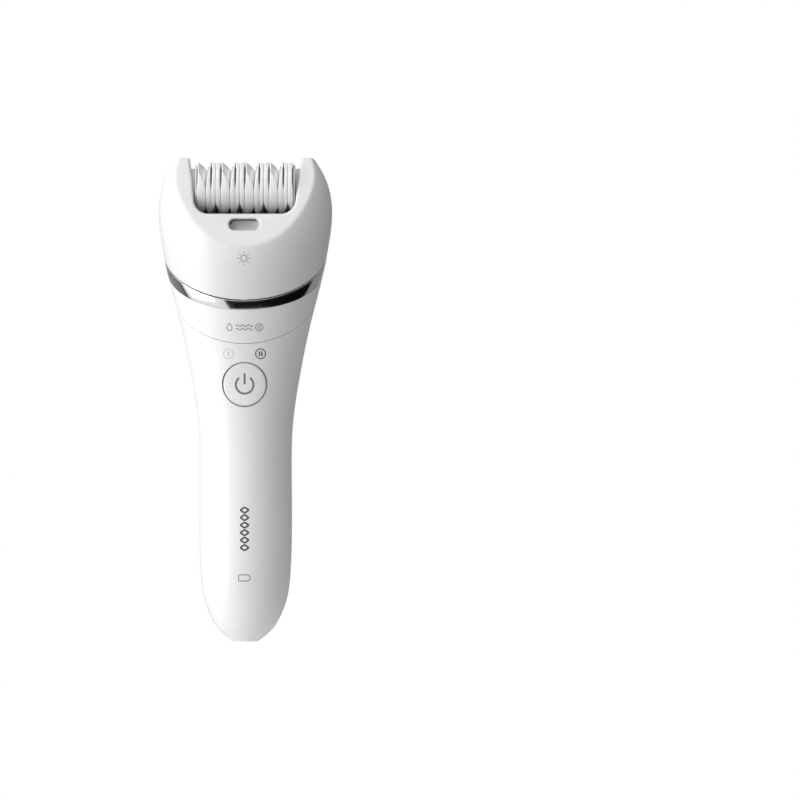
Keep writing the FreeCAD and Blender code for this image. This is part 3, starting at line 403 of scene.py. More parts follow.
@dataclass
class HeadShell:
    """The white head: a skin cut by two scooped bevels, hollow, with the drum pocket and the light slot."""

    step: float = 0.3
    low: Point = (-32.4, -22.8, 121.0)
    high: Point = (32.4, 22.8, 175.4)
    wall: float = 2.0
    bevel_wall: float = 2.8
    # Y of the foot, height of the foot, run back for each unit of height
    front_bevel: tuple[float, float, float] = (-21.2, 141.6, 0.593)
    back_bevel: tuple[float, float, float] = (19.8, 149.2, 0.718)
    # how far the centre stands off the bevel, depth, half width, half length
    dish: tuple[float, float, float, float] = (8.8, 10.0, 37.0, 59.0)
    dish_z: float = 174.0
    # floor, half width at the floor, half width at the top, corner radius
    pocket: tuple[float, float, float, float] = (153.4, 17.6, 20.6, 4.5)
    pocket_top: float = 178.0
    # height of the middle, width, height
    slot: tuple[float, float, float] = (149.4, 11.0, 4.2)
    slot_back: float = -8.0
    edge: float = 0.42
    crest: float = 173.9
    ceiling: float = 170.0

    def _skin(self, x: np.ndarray, y: np.ndarray, z: np.ndarray) -> np.ndarray:
        """Distance outside the skin, near enough for rounding."""
        a, c, b = SKIN.half_width(z), SKIN.centre(z), SKIN.half_depth(z)
        u, v = x / a, (y - c) / b
        reach = np.sqrt(u * u + v * v) + 1e-6
        slope = np.sqrt((u / a) ** 2 + (v / b) ** 2) / reach + 1e-6
        return (reach - 1) / slope

    def _bevel(self, y: np.ndarray, z: np.ndarray, side: int, shift: float) -> np.ndarray:
        """Distance outside one bevel plane, moved inwards by shift along Y."""
        foot_y, foot_z, run = self.front_bevel if side < 0 else self.back_bevel
        plane = foot_y - side * ((z - foot_z) * run + shift)
        return side * (y - plane) / math.hypot(1, run)

    def _dish(self, x: np.ndarray, y: np.ndarray, z: np.ndarray, side: int) -> np.ndarray:
        """Distance outside the ellipsoid scooped out of a bevel."""
        inset, depth, width, length = self.dish
        foot_y, foot_z, run = self.front_bevel if side < 0 else self.back_bevel
        lean = math.atan(run)
        normal = (side * math.cos(lean), math.sin(lean))
        top_y = foot_y - side * (self.dish_z - foot_z) * run
        centre = (top_y + normal[0] * inset, self.dish_z + normal[1] * inset)
        along = (normal[1], -normal[0])
        dy, dz = y - centre[0], z - centre[1]
        p, q = (dy * normal[0] + dz * normal[1]) / depth, (dy * along[0] + dz * along[1]) / length
        u = x / width
        reach = np.sqrt(p * p + q * q + u * u) + 1e-6
        slope = np.sqrt((p / depth) ** 2 + (q / length) ** 2 + (u / width) ** 2) / reach + 1e-6
        return (reach - 1) / slope

    def _pocket(self, x: np.ndarray, z: np.ndarray) -> np.ndarray:
        """Distance outside the drum pocket's round-cornered trapezoid."""
        floor, low, high, corner = self.pocket
        run = (high - low) / (self.pocket_top - floor)
        side = (np.abs(x) - (low + (z - floor) * run)) / math.hypot(1, run) + corner
        base = floor - z + corner
        outside = np.hypot(np.maximum(side, 0), np.maximum(base, 0))
        return np.minimum(np.maximum(side, base), 0) + outside - corner

    def _slot(self, x: np.ndarray, y: np.ndarray, z: np.ndarray) -> np.ndarray:
        """Distance outside the light slot."""
        mid_z, width, height = self.slot
        half = (width - height) / 2
        reach = np.hypot(np.maximum(np.abs(x) - half, 0), z - mid_z) - height / 2
        return np.maximum(reach, y - self.slot_back)

    def build(self) -> bpy.types.Object:
        """Fills the distance field, turns it into a mesh and returns the head shell."""
        axes = [np.arange(a, b, self.step, dtype=np.float64) for a, b in zip(self.low, self.high)]
        x, y, z = axes[0][:, None, None], axes[1][None, :, None], axes[2][None, None, :]
        skin = self._skin(x, y, z)
        solid = rounded_max(skin, z - self.crest, 0.7)
        for side in (-1, 1):
            scooped = rounded_max(self._bevel(y, z, side, 0.0), -self._dish(x, y, z, side), 0.35)
            solid = rounded_max(solid, scooped, self.edge)
        parting = SKIN.parting(y, HEAD_FOOT.side_z, HEAD_FOOT.slope) + 0.05
        solid = rounded_max(solid, (parting - z) * 0.8, 0.5)
        hollow = np.maximum(skin + self.wall, z - self.ceiling)
        for side in (-1, 1):
            hollow = np.maximum(hollow, self._bevel(y, z, side, self.bevel_wall))
        solid = np.maximum(solid, -hollow)
        solid = rounded_max(solid, -self._pocket(x, z) + 0 * y, 0.9)
        solid = rounded_max(solid, -self._slot(x, y, z), 0.5)
        grid = openvdb.FloatGrid(2.0)
        grid.copyFromArray(np.clip(solid / self.step, -2, 2))
        points, quads = grid.convertToQuads(isovalue=0)[:2]
        spots = np.asarray(points, float) * self.step + np.array(self.low)
        obj = new_object("head_casing", spots, np.asarray(quads))
        self._relax(obj)
        return tidy_mesh(obj)

    def _relax(self, obj: bpy.types.Object) -> None:
        """Evens out the mesh with a light volume-keeping smooth."""
        for strength in (0.5, -0.51, 0.5, -0.51):
            modifier = obj.modifiers.new("relax", "SMOOTH")
            modifier.factor, modifier.iterations = strength, 5
        apply_modifiers(obj)


# ------------------------------------------------------------------ printed marks
@dataclass
class Print:
    """Thin printed strokes laid on a curved face, gathered into one mesh."""

    surface: Callable[[float, float], float]
    proud: float = 0.03
    sunk: float = 0.05
    points: list[Point] = field(default_factory=list)
    faces: list[Face] = field(default_factory=list)

    def stroke(self, path: Sequence[Flat], width: float, closed: bool = False) -> None:
        """Adds a stroke of even width along a path of (x, z) points."""
        count = len(path)
        first = len(self.points)
        for i, (x, z) in enumerate(path):
            before = path[i - 1] if i > 0 or closed else path[i]
            after = path[(i + 1) % count] if i < count - 1 or closed else path[i]
            run = (after[0] - before[0], after[1] - before[1])
            size = math.hypot(*run) or 1.0
            side = (-run[1] / size * width / 2, run[0] / size * width / 2)
            for sign, lift in ((-1, -self.sunk), (-1, self.proud), (1, self.proud), (1, -self.sunk)):
                px, pz = x + sign * side[0], z + sign * side[1]
                self.points.append((px, self.surface(px, pz) - lift, pz))
        for i in range(count if closed else count - 1):
            a, b = first + 4 * i, first + 4 * ((i + 1) % count)
            self.faces += [(a + k, a + (k + 1) % 4, b + (k + 1) % 4, b + k) for k in range(4)]
        if not closed:
            last = first + 4 * (count - 1)
            self.faces += [(first + 3, first + 2, first + 1, first), (last, last + 1, last + 2, last + 3)]

    def arc(self, centre: Flat, radius: float, width: float, start: float = 0.0, end: float = 360.0) -> None:
        """Adds a circle, or the part of one from start to end degrees measured from +Z."""
        whole = end - start >= 360
        steps = max(8, int(abs(end - start) / 7.5))
        count = steps if whole else steps + 1
        angles = [math.radians(start + (end - start) * k / steps) for k in range(count)]
        x, z = centre
        self.stroke([(x + radius * math.sin(a), z + radius * math.cos(a)) for a in angles], width, whole)

    def line(self, start: Flat, end: Flat, width: float, steps: int = 4) -> None:
        """Adds a straight stroke that still follows the curved face."""
        path = [
            (start[0] + (end[0] - start[0]) * k / steps, start[1] + (end[1] - start[1]) * k / steps)
            for k in range(steps + 1)
        ]
        self.stroke(path, width)

    def build(self, name: str) -> bpy.types.Object:
        """Makes the mesh of all the strokes so far."""
        return smooth_by_angle(tidy_mesh(new_object(name, self.points, self.faces)), 40)


@dataclass
class FrontMarks:
    """The generic printed signs down the front: a lamp, care signs, two speeds, a lozenge row and a cell."""

    lamp_z: float = 137.2
    care_z: float = 112.7
    speed_z: float = 103.3
    speed_x: float = 5.76
    row: tuple[float, float] = (32.6, 48.7)
    cell_z: float = 23.1

    def lamp(self) -> bpy.types.Object:
        """A small sun above the band, on the head."""
        sign = Print(SKIN.front)
        sign.arc((0, self.lamp_z), 1.1, 0.26)
        for a in turn(8):
            inner, outer = ((r * math.sin(a), self.lamp_z + r * math.cos(a)) for r in (1.75, 2.3))
            sign.line(inner, outer, 0.28, 2)
        return sign.build("mark_lamp")

    def care(self) -> bpy.types.Object:
        """A droplet, two ripples and a drying ring, under the band."""
        sign, z = Print(SKIN.front), self.care_z
        drop = []
        for a in turn(28):
            pinch = 1 - 0.62 * max(0.0, math.cos(a)) ** 2
            tall = 1.5 if math.cos(a) > 0 else 1.05
            drop.append((-5.3 + 0.95 * pinch * math.sin(a), z - 0.15 + tall * math.cos(a)))
        sign.stroke(drop, 0.27, True)
        for lift in (-0.62, 0.62):
            wave = [(-3.1 + 6.2 * k / 36, z + lift + 0.34 * math.sin(math.pi / 6 * k)) for k in range(37)]
            sign.stroke(wave, 0.27)
        sign.arc((5.3, z), 1.25, 0.27)
        for lift in (-0.3, 0.3):
            sign.line((4.75, z + lift), (5.85, z + lift), 0.25)
        return sign.build("mark_care")

    def speed(self, right: bool) -> bpy.types.Object:
        """A ring with one or two bars: one on the left, two on the right."""
        sign = Print(SKIN.front)
        x = self.speed_x if right else -self.speed_x
        sign.arc((x, self.speed_z), 1.75, 0.34 if right else 0.3)
        for offset in (-0.42, 0.42) if right else (0.0,):
            sign.line((x + offset, self.speed_z - 0.85), (x + offset, self.speed_z + 0.85), 0.46)
        return sign.build("mark_speed_two" if right else "mark_speed_one")

    def lozenges(self) -> bpy.types.Object:
        """A plain row of lozenges down the grip."""
        sign = Print(SKIN.front)
        low, high = self.row
        count = 6
        pitch = (high - low) / count
        for k in range(count):
            mid = low + pitch * (k + 0.5)
            reach = pitch / 2 - 0.28
            corners = [(-1.55, mid), (0, mid + reach), (1.55, mid), (0, mid - reach)]
            for start, end in zip(corners, corners[1:] + corners[:1]):
                sign.line(start, end, 0.58, 2)
        return sign.build("mark_lozenges")

    def cell(self) -> bpy.types.Object:
        """A small outline with one round end, for the charge lamp."""
        sign, z = Print(SKIN.front), self.cell_z
        path = [(-2.1, z + t) for t in np.linspace(-1.1, 1.1, 5)]
        path += [(x, z + 1.1) for x in np.linspace(-1.4, 0.9, 5)]
        bend = np.linspace(0.2, math.pi - 0.2, 12)
        path += [(0.9 + 1.1 * math.sin(a), z + 1.1 * math.cos(a)) for a in bend]
        path += [(x, z - 1.1) for x in np.linspace(0.9, -1.4, 5)]
        sign.stroke(path, 0.3, True)
        return sign.build("mark_cell")


# ------------------------------------------------------------------ power button
@dataclass
class PowerButton:
    """The round button, sunk a little in its bezel and dished towards the middle."""

    radius: float = 7.86
    z: float = 92.3
    tilt: float = 7.5
    rim_sink: float = 0.28
    dish: float = 0.42
    bezel: tuple[float, float] = (7.93, 8.14)

    def at(self, x: float, z: float) -> float:
        """Y of the button's face at a place seen from the front."""
        r = math.hypot(x, z - self.z)
        share = min(1.0, r / self.radius)
        bowl = self.dish * (1 - share * share) ** 1.5
        rim = max(0.0, share - 0.93) / 0.07
        return SKIN.front(x, z) + self.rim_sink + bowl + 0.3 * rim * rim

    def back(self, z: float) -> float:
        """Y of the button's flat back, which leans with its axis."""
        return -9.8 - math.tan(math.radians(self.tilt)) * (z - self.z)

    def face(self) -> bpy.types.Object:
        """The button itself: face, rounded rim and skirt."""
        turns, points, faces = 120, [(0.0, self.at(0, self.z), self.z)], []
        rings = list(np.linspace(0, 1, 34)[1:])
        for share in rings:
            for a in turn(turns):
                x, z = self.radius * share * math.sin(a), self.z + self.radius * share * math.cos(a)
                points.append((x, self.at(x, z), z))
        for a in turn(turns):
            x, z = self.radius * math.sin(a), self.z + self.radius * math.cos(a)
            points.append((x, self.back(z), z))
        points.append((0.0, self.back(self.z), self.z))
        for k in range(turns):
            faces.append((0, 1 + k, 1 + (k + 1) % turns))
        for i in range(len(rings)):
            for k in range(turns):
                a, b = 1 + i * turns, 1 + (i + 1) * turns
                faces.append((a + k, b + k, b + (k + 1) % turns, a + (k + 1) % turns))
        last = 1 + len(rings) * turns
        for k in range(turns):
            faces.append((last + (k + 1) % turns, last + k, len(points) - 1))
        return smooth_by_angle(tidy_mesh(new_object("power_button_cap", points, faces)), 50)

    def collar(self) -> bpy.types.Object:
        """The thin dark bezel round the button, level with the skin."""
        inner, outer = self.bezel
        section = [
            (inner, -3.2), (inner, -0.12), (inner + 0.06, -0.04),
            (outer - 0.06, -0.02), (outer, -0.08), (outer, -3.2),
        ]
        turns, points = 160, []
        for radius, lift in section:
            for a in turn(turns):
                x, z = radius * math.sin(a), self.z + radius * math.cos(a)
                base = SKIN.front(x, z) if lift > -1 else SKIN.front(0, z)
                points.append((x, base - lift, z))
        obj = new_object("power_bezel", points, grid_faces(len(section), turns, True, True))
        return smooth_by_angle(tidy_mesh(obj), 40)

    def symbol(self) -> bpy.types.Object:
        """The open circle and bar of a standby sign."""
        sign = Print(self.at)
        sign.arc((0, self.z - 0.1), 3.15, 0.72, 38, 322)
        sign.line((0, self.z + 0.1), (0, self.z + 4.0), 0.72, 6)
        return sign.build("mark_power")

    def tool(self) -> bpy.types.Object:
        """The cylinder that opens the handle for the bezel."""
        lean = Matrix.Rotation(math.radians(90 + self.tilt), 4, "X")
        place = Matrix.Translation((0, SKIN.front(0, self.z), self.z)) @ lean
        outline = [(0.0001, -6.0), (8.15, -6.0), (8.15, 6.0), (0.0001, 6.0)]
        return lathe("button_tool", outline, place, 144)


# ------------------------------------------------------------------ drum
@dataclass(frozen=True)
class Seam:
    """Where a seam between two discs opens, in degrees from +Z towards the front, and over what reach."""

    centre: float
    reach: float

    def opening(self, angle: float) -> float:
        """How far open the seam is at an angle in radians, from 0 to 1; it repeats every half turn."""
        away = (math.degrees(angle) - self.centre + 90) % 180 - 90
        if abs(away) >= self.reach:
            return 0.0
        return min(1.0, 0.8 + 0.8 * math.cos(math.pi * away / self.reach))


@dataclass
class TweezerDrum:
    """The ceramic discs, two to a node, with slots and mouths between them and softened rims."""

    centre_z: float = 162.4
    radius: float = 9.8
    shaft: float = 1.53
    waist: float = 6.9
    shoulder: float = 8.4
    gap: float = 0.03
    slot: float = 0.3
    slot_seam: Seam = Seam(57.0, 40.0)
    mouth_seams: tuple[Seam, Seam] = (Seam(20.0, 76.0), Seam(160.0, 42.0))
    depths: tuple[Flat, Flat] = ((2.4, 1.05), (1.1, 1.4))
    flank: tuple[float, ...] = (0.12, 0.4, 0.7, 0.93)
    steps: tuple[float, ...] = (3.3, 1.9, 1.54, 1.9)
    pairs: int = 8
    turns: int = 168

    def seams(self) -> list[float]:
        """X of each seam between neighbouring discs."""
        points = [0.0]
        for i in range(2 * self.pairs):
            points.append(points[-1] + self.steps[i % len(self.steps)])
        return [p - points[-1] / 2 for p in points]

    def section(self, low: float, near: float, far: float, high: float) -> list[Flat]:
        """(radius, x) outline of a disc at one angle.

        Args:
            low: x of the flat face on the slot side.
            near: x of that face at the rim.
            far: x of the mouth-side face at the rim.
            high: x of the flat face on the mouth side.

        Returns:
            The closed outline, softened at the rim.
        """
        soft = min(0.26, 0.35 * (far - near))
        r, quarter = self.radius, np.linspace(0, math.pi / 2, 5)

        def side(share: float, flat: float, rim: float) -> Flat:
            """A point of the side's curve out from the waist, from its flat face to its rim."""
            ease = share * share * (3 - 2 * share)
            return self.waist + (self.shoulder - self.waist) * share, flat + (rim - flat) * ease

        outline = [(self.shaft, low), (self.waist - 0.3, low)]
        outline += [side(share, low, near) for share in self.flank]
        outline += [(r - soft + soft * math.sin(a), near + soft - soft * math.cos(a)) for a in quarter]
        outline += [(r - soft + soft * math.cos(a), far - soft + soft * math.sin(a)) for a in quarter]
        outline += [side(share, high, far) for share in reversed(self.flank)]
        return outline + [(self.waist - 0.3, high), (self.shaft, high)]

    def disc(self, first: float, second: float, kind: int, odd: bool) -> Shell:
        """Points and faces of one disc between two seams; odd discs have their mouth at the first seam."""
        sign = -1 if odd else 1
        low, high = (first, second) if not odd else (-second, -first)
        low, high = low + self.gap, high - self.gap
        points: list[Point] = []
        for angle in turn(self.turns):
            near = low + self.slot * self.slot_seam.opening(angle)
            far = high - self.depths[kind][int(odd)] * self.mouth_seams[kind].opening(angle)
            outline = self.section(low, near, far, high)
            across, up = math.sin(angle), math.cos(angle)
            points += [(sign * x, -r * across, self.centre_z + r * up) for r, x in outline]
        return points, grid_faces(self.turns, len(points) // self.turns, True, True)

    def build(self, pair: int) -> bpy.types.Object:
        """Builds both discs of one pair as one object."""
        at = self.seams()
        points: list[Point] = []
        faces: list[Face] = []
        for side in (0, 1):
            i = 2 * pair + side
            spots, quads = self.disc(at[i], at[i + 1], pair % 2, side == 1)
            faces += [tuple(len(points) + n for n in quad) for quad in quads]
            points += spots
        return smooth_by_angle(tidy_mesh(new_object(f"tweezer_discs_{pair + 1}", points, faces)), 42)


# ------------------------------------------------------------------ small fittings
@dataclass
class Fittings:
    """The bowl of the light slot, a painted shadow line along the top of the slot, and the opening for the
    release button.
    """

    slot_z: float = 149.4
    release_z: float = 109.0
    release_slot: tuple[float, float] = (13.36, 8.36)

    def lens(self) -> bpy.types.Object:
        """The frosted bowl behind the light slot; its grey colour is partly the lens's own tone and partly
        painted shade of the sunken slot.
        """
        rings, turns, radius, half = 12, 72, 2.09, 3.4
        shares = [i / rings for i in range(rings + 1)]
        rows = [(share, -14.5 + 0.9 * (1 - share * share)) for share in shares] + [(1.0, -12.5)]
        points = []
        for share, y in rows:
            for a in turn(turns):
                flat = half * (1 if math.sin(a) > 0 else -1) * min(1.0, share * 1.4)
                x = radius * share * math.sin(a) + flat * min(1.0, abs(math.sin(a)) * 3)
                points.append((x, y, self.slot_z + radius * share * math.cos(a)))
        faces = grid_faces(rings + 2, turns, False, True)
        faces.append(tuple((rings + 1) * turns + k for k in range(turns)))
        return smooth_by_angle(tidy_mesh(new_object("light_bowl", points, faces), 0.01), 40)

    def release_tool(self) -> bpy.types.Object:
        """The stadium that opens the rear casing for the release button."""
        width, height = self.release_slot
        half, radius = (width - height) / 2, height / 2
        count, outline = 64, []
        for a in turn(count, 0.5):
            x = math.copysign(half, math.sin(a)) + radius * math.sin(a)
            outline.append((x, self.release_z + radius * math.cos(a)))
        points = [(x, y, z) for y in (8.0, 26.0) for x, z in outline]
        faces = grid_faces(2, count, False, True)
        faces += [tuple(range(count)), tuple(range(2 * count - 1, count - 1, -1))]
        return tidy_mesh(new_object("release_tool", points, faces))

    def slot_shadow_line(self) -> bpy.types.Object:
        """A painted shadow: a dark line along the top of the light slot, standing for the shade under its
        upper edge.
        """
        sign = Print(lambda x, z: -14.62, proud=0.02, sunk=0.2)
        bend = np.linspace(1.45, 0, 8)
        path = [(-3.4 - 1.5 * math.sin(a), self.slot_z + 0.1 + 1.5 * math.cos(a)) for a in bend]
        sign.stroke(path + [(x, self.slot_z + 1.6) for x in np.linspace(-2.8, 4.2, 6)], 0.42)
        return sign.build("light_slot_painted_shadow")


# ------------------------------------------------------------------ shader groups
def preset(node: bpy.types.Node, values: dict[str, float | tuple[float, ...]]) -> None:
    """Sets a node's input sockets by name."""
    for label, value in values.items():
        node.inputs[label].default_value = value


def join(links: bpy.types.NodeLinks, *ties: tuple) -> None:
    """Links each (node, output, node, input) in turn."""
    for source, output, target, entry in ties:
        links.new(source.outputs[output], target.inputs[entry])


class Groups:
    """Shared shader node groups, each built once."""

    def __init__(self) -> None:
        """Builds the groups."""
        self.grain = self._grain()
        self.handling = self._handling()
        self.turning = self._turning()

    @staticmethod
    def _start(name: str, inputs: Sequence[tuple[str, float]], outputs: Sequence[str]) -> tuple:
        """An empty group with float sockets; returns it with its nodes, links, input node and output node."""
        group = bpy.data.node_groups.new(name, "ShaderNodeTree")
        for label, value in inputs:
            socket = group.interface.new_socket(label, in_out="INPUT", socket_type="NodeSocketFloat")
            socket.default_value = value
        for label in outputs:
            group.interface.new_socket(label, in_out="OUTPUT", socket_type="NodeSocketFloat")
        entry, leave = group.nodes.new("NodeGroupInput"), group.nodes.new("NodeGroupOutput")
        return group, group.nodes, group.links, entry, leave

    def _grain(self) -> bpy.types.NodeTree:
        """Fine moulded grain: a height for a bump."""
        group, nodes, links, entry, leave = self._start(
            "moulded_grain", [("Scale", 2600.0), ("Waviness", 0.15)], ["Height"]
        )
        where = nodes.new("ShaderNodeTexCoord")
        fine, broad = nodes.new("ShaderNodeTexNoise"), nodes.new("ShaderNodeTexNoise")
        preset(fine, {"Detail": 3.0})
        preset(broad, {"Scale": 90.0, "Detail": 1.0})
        blend = nodes.new("ShaderNodeMath")
        blend.operation = "MULTIPLY_ADD"
        join(
            links, (where, "Object", fine, "Vector"), (where, "Object", broad, "Vector"),
            (entry, "Scale", fine, "Scale"), (broad, "Fac", blend, 0), (entry, "Waviness", blend, 1),
            (fine, "Fac", blend, 2), (blend, 0, leave, "Height"),
        )
        return group

    def _handling(self) -> bpy.types.NodeTree:
        """Soft smears and fine scuffs from handling: a roughness value and a mask."""
        group, nodes, links, entry, leave = self._start(
            "handling", [("Clean", 0.3), ("Smeared", 0.4), ("Scale", 38.0)], ["Roughness", "Mask"]
        )
        where = nodes.new("ShaderNodeTexCoord")
        smear, scuff = nodes.new("ShaderNodeTexNoise"), nodes.new("ShaderNodeTexNoise")
        preset(smear, {"Detail": 4.0, "Distortion": 0.8})
        preset(scuff, {"Scale": 620.0, "Detail": 5.0})
        product = nodes.new("ShaderNodeMath")
        product.operation = "MULTIPLY"
        ramp, spread = nodes.new("ShaderNodeMapRange"), nodes.new("ShaderNodeMapRange")
        preset(ramp, {"From Min": 0.18, "From Max": 0.42})
        join(
            links, (where, "Object", smear, "Vector"), (where, "Object", scuff, "Vector"),
            (entry, "Scale", smear, "Scale"), (smear, "Fac", product, 0), (scuff, "Fac", product, 1),
            (product, 0, ramp, "Value"), (ramp, "Result", spread, "Value"),
            (entry, "Clean", spread, "To Min"), (entry, "Smeared", spread, "To Max"),
            (spread, "Result", leave, "Roughness"), (ramp, "Result", leave, "Mask"),
        )
        return group

    def _turning(self) -> bpy.types.NodeTree:
        """Fine parallel lines of turned or drawn metal: a height for a bump."""
        group, nodes, links, entry, leave = self._start("drawn_lines", [("Scale", 900.0)], ["Height"])
        where = nodes.new("ShaderNodeTexCoord")
        stretch = nodes.new("ShaderNodeMapping")
        preset(stretch, {"Scale": (1.0, 1.0, 0.04)})
        lines = nodes.new("ShaderNodeTexNoise")
        preset(lines, {"Detail": 2.0})
        join(
            links, (where, "Object", stretch, "Vector"), (stretch, "Vector", lines, "Vector"),
            (entry, "Scale", lines, "Scale"), (lines, "Fac", leave, "Height"),
        )
        return group


@dataclass(frozen=True)
class Finish:
    """A material: one principled shader with shared groups for grain and handling."""

    name: str
    colour: tuple[float, float, float]
    clean: float
    smeared: float
    shade: tuple[float, float, float] | None = None
    metallic: float = 0.0
    grain: float = 0.0
    scale: float = 2600.0
    drawn: bool = False
    coat: float = 0.0
    specular: float = 0.5

    def build(self, groups: Groups) -> bpy.types.Material:
        """Makes the material."""
        material = bpy.data.materials.new(self.name)
        material.use_nodes = True
        nodes, links = material.node_tree.nodes, material.node_tree.links
        shader = nodes["Principled BSDF"]
        preset(shader, {
            "Base Color": (*self.colour, 1.0), "Metallic": self.metallic, "Coat Weight": self.coat,
            "Coat Roughness": 0.12, "Specular IOR Level": self.specular,
        })
        handling = nodes.new("ShaderNodeGroup")
        handling.node_tree = groups.handling
        preset(handling, {"Clean": self.clean, "Smeared": self.smeared})
        join(links, (handling, "Roughness", shader, "Roughness"))
        if self.shade:
            mix = nodes.new("ShaderNodeMix")
            mix.data_type = "RGBA"
            preset(mix, {"A": (*self.colour, 1.0), "B": (*self.shade, 1.0)})
            join(links, (handling, "Mask", mix, "Factor"), (mix, "Result", shader, "Base Color"))
        if self.grain > 0:
            source, bump = nodes.new("ShaderNodeGroup"), nodes.new("ShaderNodeBump")
            source.node_tree = groups.turning if self.drawn else groups.grain
            preset(source, {"Scale": self.scale})
            preset(bump, {"Strength": self.grain, "Distance": 0.00004})
            join(links, (source, "Height", bump, "Height"), (bump, "Normal", shader, "Normal"))
        return material


FINISH_LIST: tuple[Finish, ...] = (
    Finish("white_casing", (0.83, 0.835, 0.84), 0.3, 0.36, (0.81, 0.813, 0.818), grain=0.12, coat=0.15),
    Finish("white_head", (0.775, 0.778, 0.782), 0.27, 0.33, (0.755, 0.758, 0.763), grain=0.1, coat=0.2),
    Finish("chrome_band", (0.88, 0.885, 0.895), 0.11, 0.16, (0.83, 0.835, 0.845), metallic=1.0),
    Finish("button_face", (0.84, 0.845, 0.85), 0.24, 0.3, (0.82, 0.82, 0.825), grain=0.08, coat=0.25),
    Finish("ink_dark", (0.055, 0.058, 0.062), 0.42, 0.5, (0.075, 0.078, 0.082)),
    Finish("ink_mid", (0.17, 0.175, 0.18), 0.42, 0.5, (0.2, 0.205, 0.21)),
    Finish("ink_pale", (0.58, 0.58, 0.59), 0.42, 0.5, (0.54, 0.54, 0.55)),
    Finish("dark_trim", (0.14, 0.145, 0.15), 0.4, 0.48, (0.16, 0.165, 0.17), grain=0.3),
    Finish("inner_plastic", (0.035, 0.036, 0.038), 0.45, 0.56, (0.05, 0.05, 0.053), grain=0.4, scale=1900),
    Finish("pale_plastic", (0.66, 0.665, 0.67), 0.4, 0.48, (0.62, 0.625, 0.63), grain=0.3),
    # grey is partly the frosted lens's own tone and partly painted shade of the sunken light slot
    Finish("clear_bowl_painted_shade", (0.5, 0.51, 0.52), 0.3, 0.38, (0.46, 0.47, 0.48), grain=0.15, coat=0.4),
    Finish(
        "ceramic_disc", (0.87, 0.87, 0.86), 0.2, 0.28, (0.84, 0.84, 0.83),
        coat=0.3, grain=0.1, scale=3400,
    ),
    Finish("steel", (0.56, 0.57, 0.58), 0.24, 0.36, (0.5, 0.51, 0.52), metallic=1.0, grain=0.35, drawn=True),
    Finish(
        "motor_steel", (0.5, 0.51, 0.53), 0.28, 0.4, (0.44, 0.45, 0.47),
        metallic=1.0, grain=0.4, drawn=True,
    ),
    Finish("gear_acetal", (0.78, 0.77, 0.72), 0.34, 0.42, (0.74, 0.73, 0.68), grain=0.25),
    Finish("rubber", (0.03, 0.03, 0.032), 0.55, 0.66, (0.045, 0.045, 0.048), grain=0.5, scale=1500),
    Finish("battery_wrap", (0.05, 0.2, 0.1), 0.3, 0.4, (0.045, 0.17, 0.09), grain=0.15, coat=0.3),
    Finish("board", (0.02, 0.12, 0.06), 0.32, 0.42, (0.025, 0.14, 0.07), grain=0.3, scale=1200),
    Finish("magnet", (0.12, 0.12, 0.13), 0.45, 0.56, (0.09, 0.09, 0.1), metallic=0.8, grain=0.5),
    Finish(
        "copper_tin", (0.62, 0.42, 0.2), 0.28, 0.4, (0.54, 0.36, 0.18),
        metallic=1.0, grain=0.3, drawn=True,
    ),
    Finish("nickel", (0.6, 0.59, 0.56), 0.24, 0.34, (0.55, 0.54, 0.51), metallic=1.0, grain=0.3, drawn=True),
)
FINISHES = {finish.name: finish for finish in FINISH_LIST}


def two_tone_frame(groups: Groups, half: float = 0.0181) -> bpy.types.Material:
    """The drum's frame: dark in the trough between the cheeks, white on the cheeks beyond `half` metres."""
    dark = (0.03, 0.031, 0.033)
    material = Finish("frame_two_tone", dark, 0.42, 0.52, grain=0.3).build(groups)
    nodes, links = material.node_tree.nodes, material.node_tree.links
    where, split, away, beyond, mix = (
        nodes.new(f"ShaderNode{kind}") for kind in ("TexCoord", "SeparateXYZ", "Math", "Math", "Mix")
    )
    away.operation, beyond.operation, mix.data_type = "ABSOLUTE", "GREATER_THAN", "RGBA"
    beyond.inputs[1].default_value = half
    preset(mix, {"A": (*dark, 1.0), "B": (0.74, 0.743, 0.748, 1.0)})
    join(
        links, (where, "Object", split, 0), (split, "X", away, 0), (away, 0, beyond, 0),
        (beyond, 0, mix, "Factor"), (mix, "Result", nodes["Principled BSDF"], "Base Color"),
    )
    return material


# slots whose finish has a name of its own
SLOT_FINISH: dict[str, str] = {
    "white_shell": "white_casing", "head_shell": "white_head", "chrome_trim": "chrome_band",
    "clear_plastic": "clear_bowl_painted_shade",
}


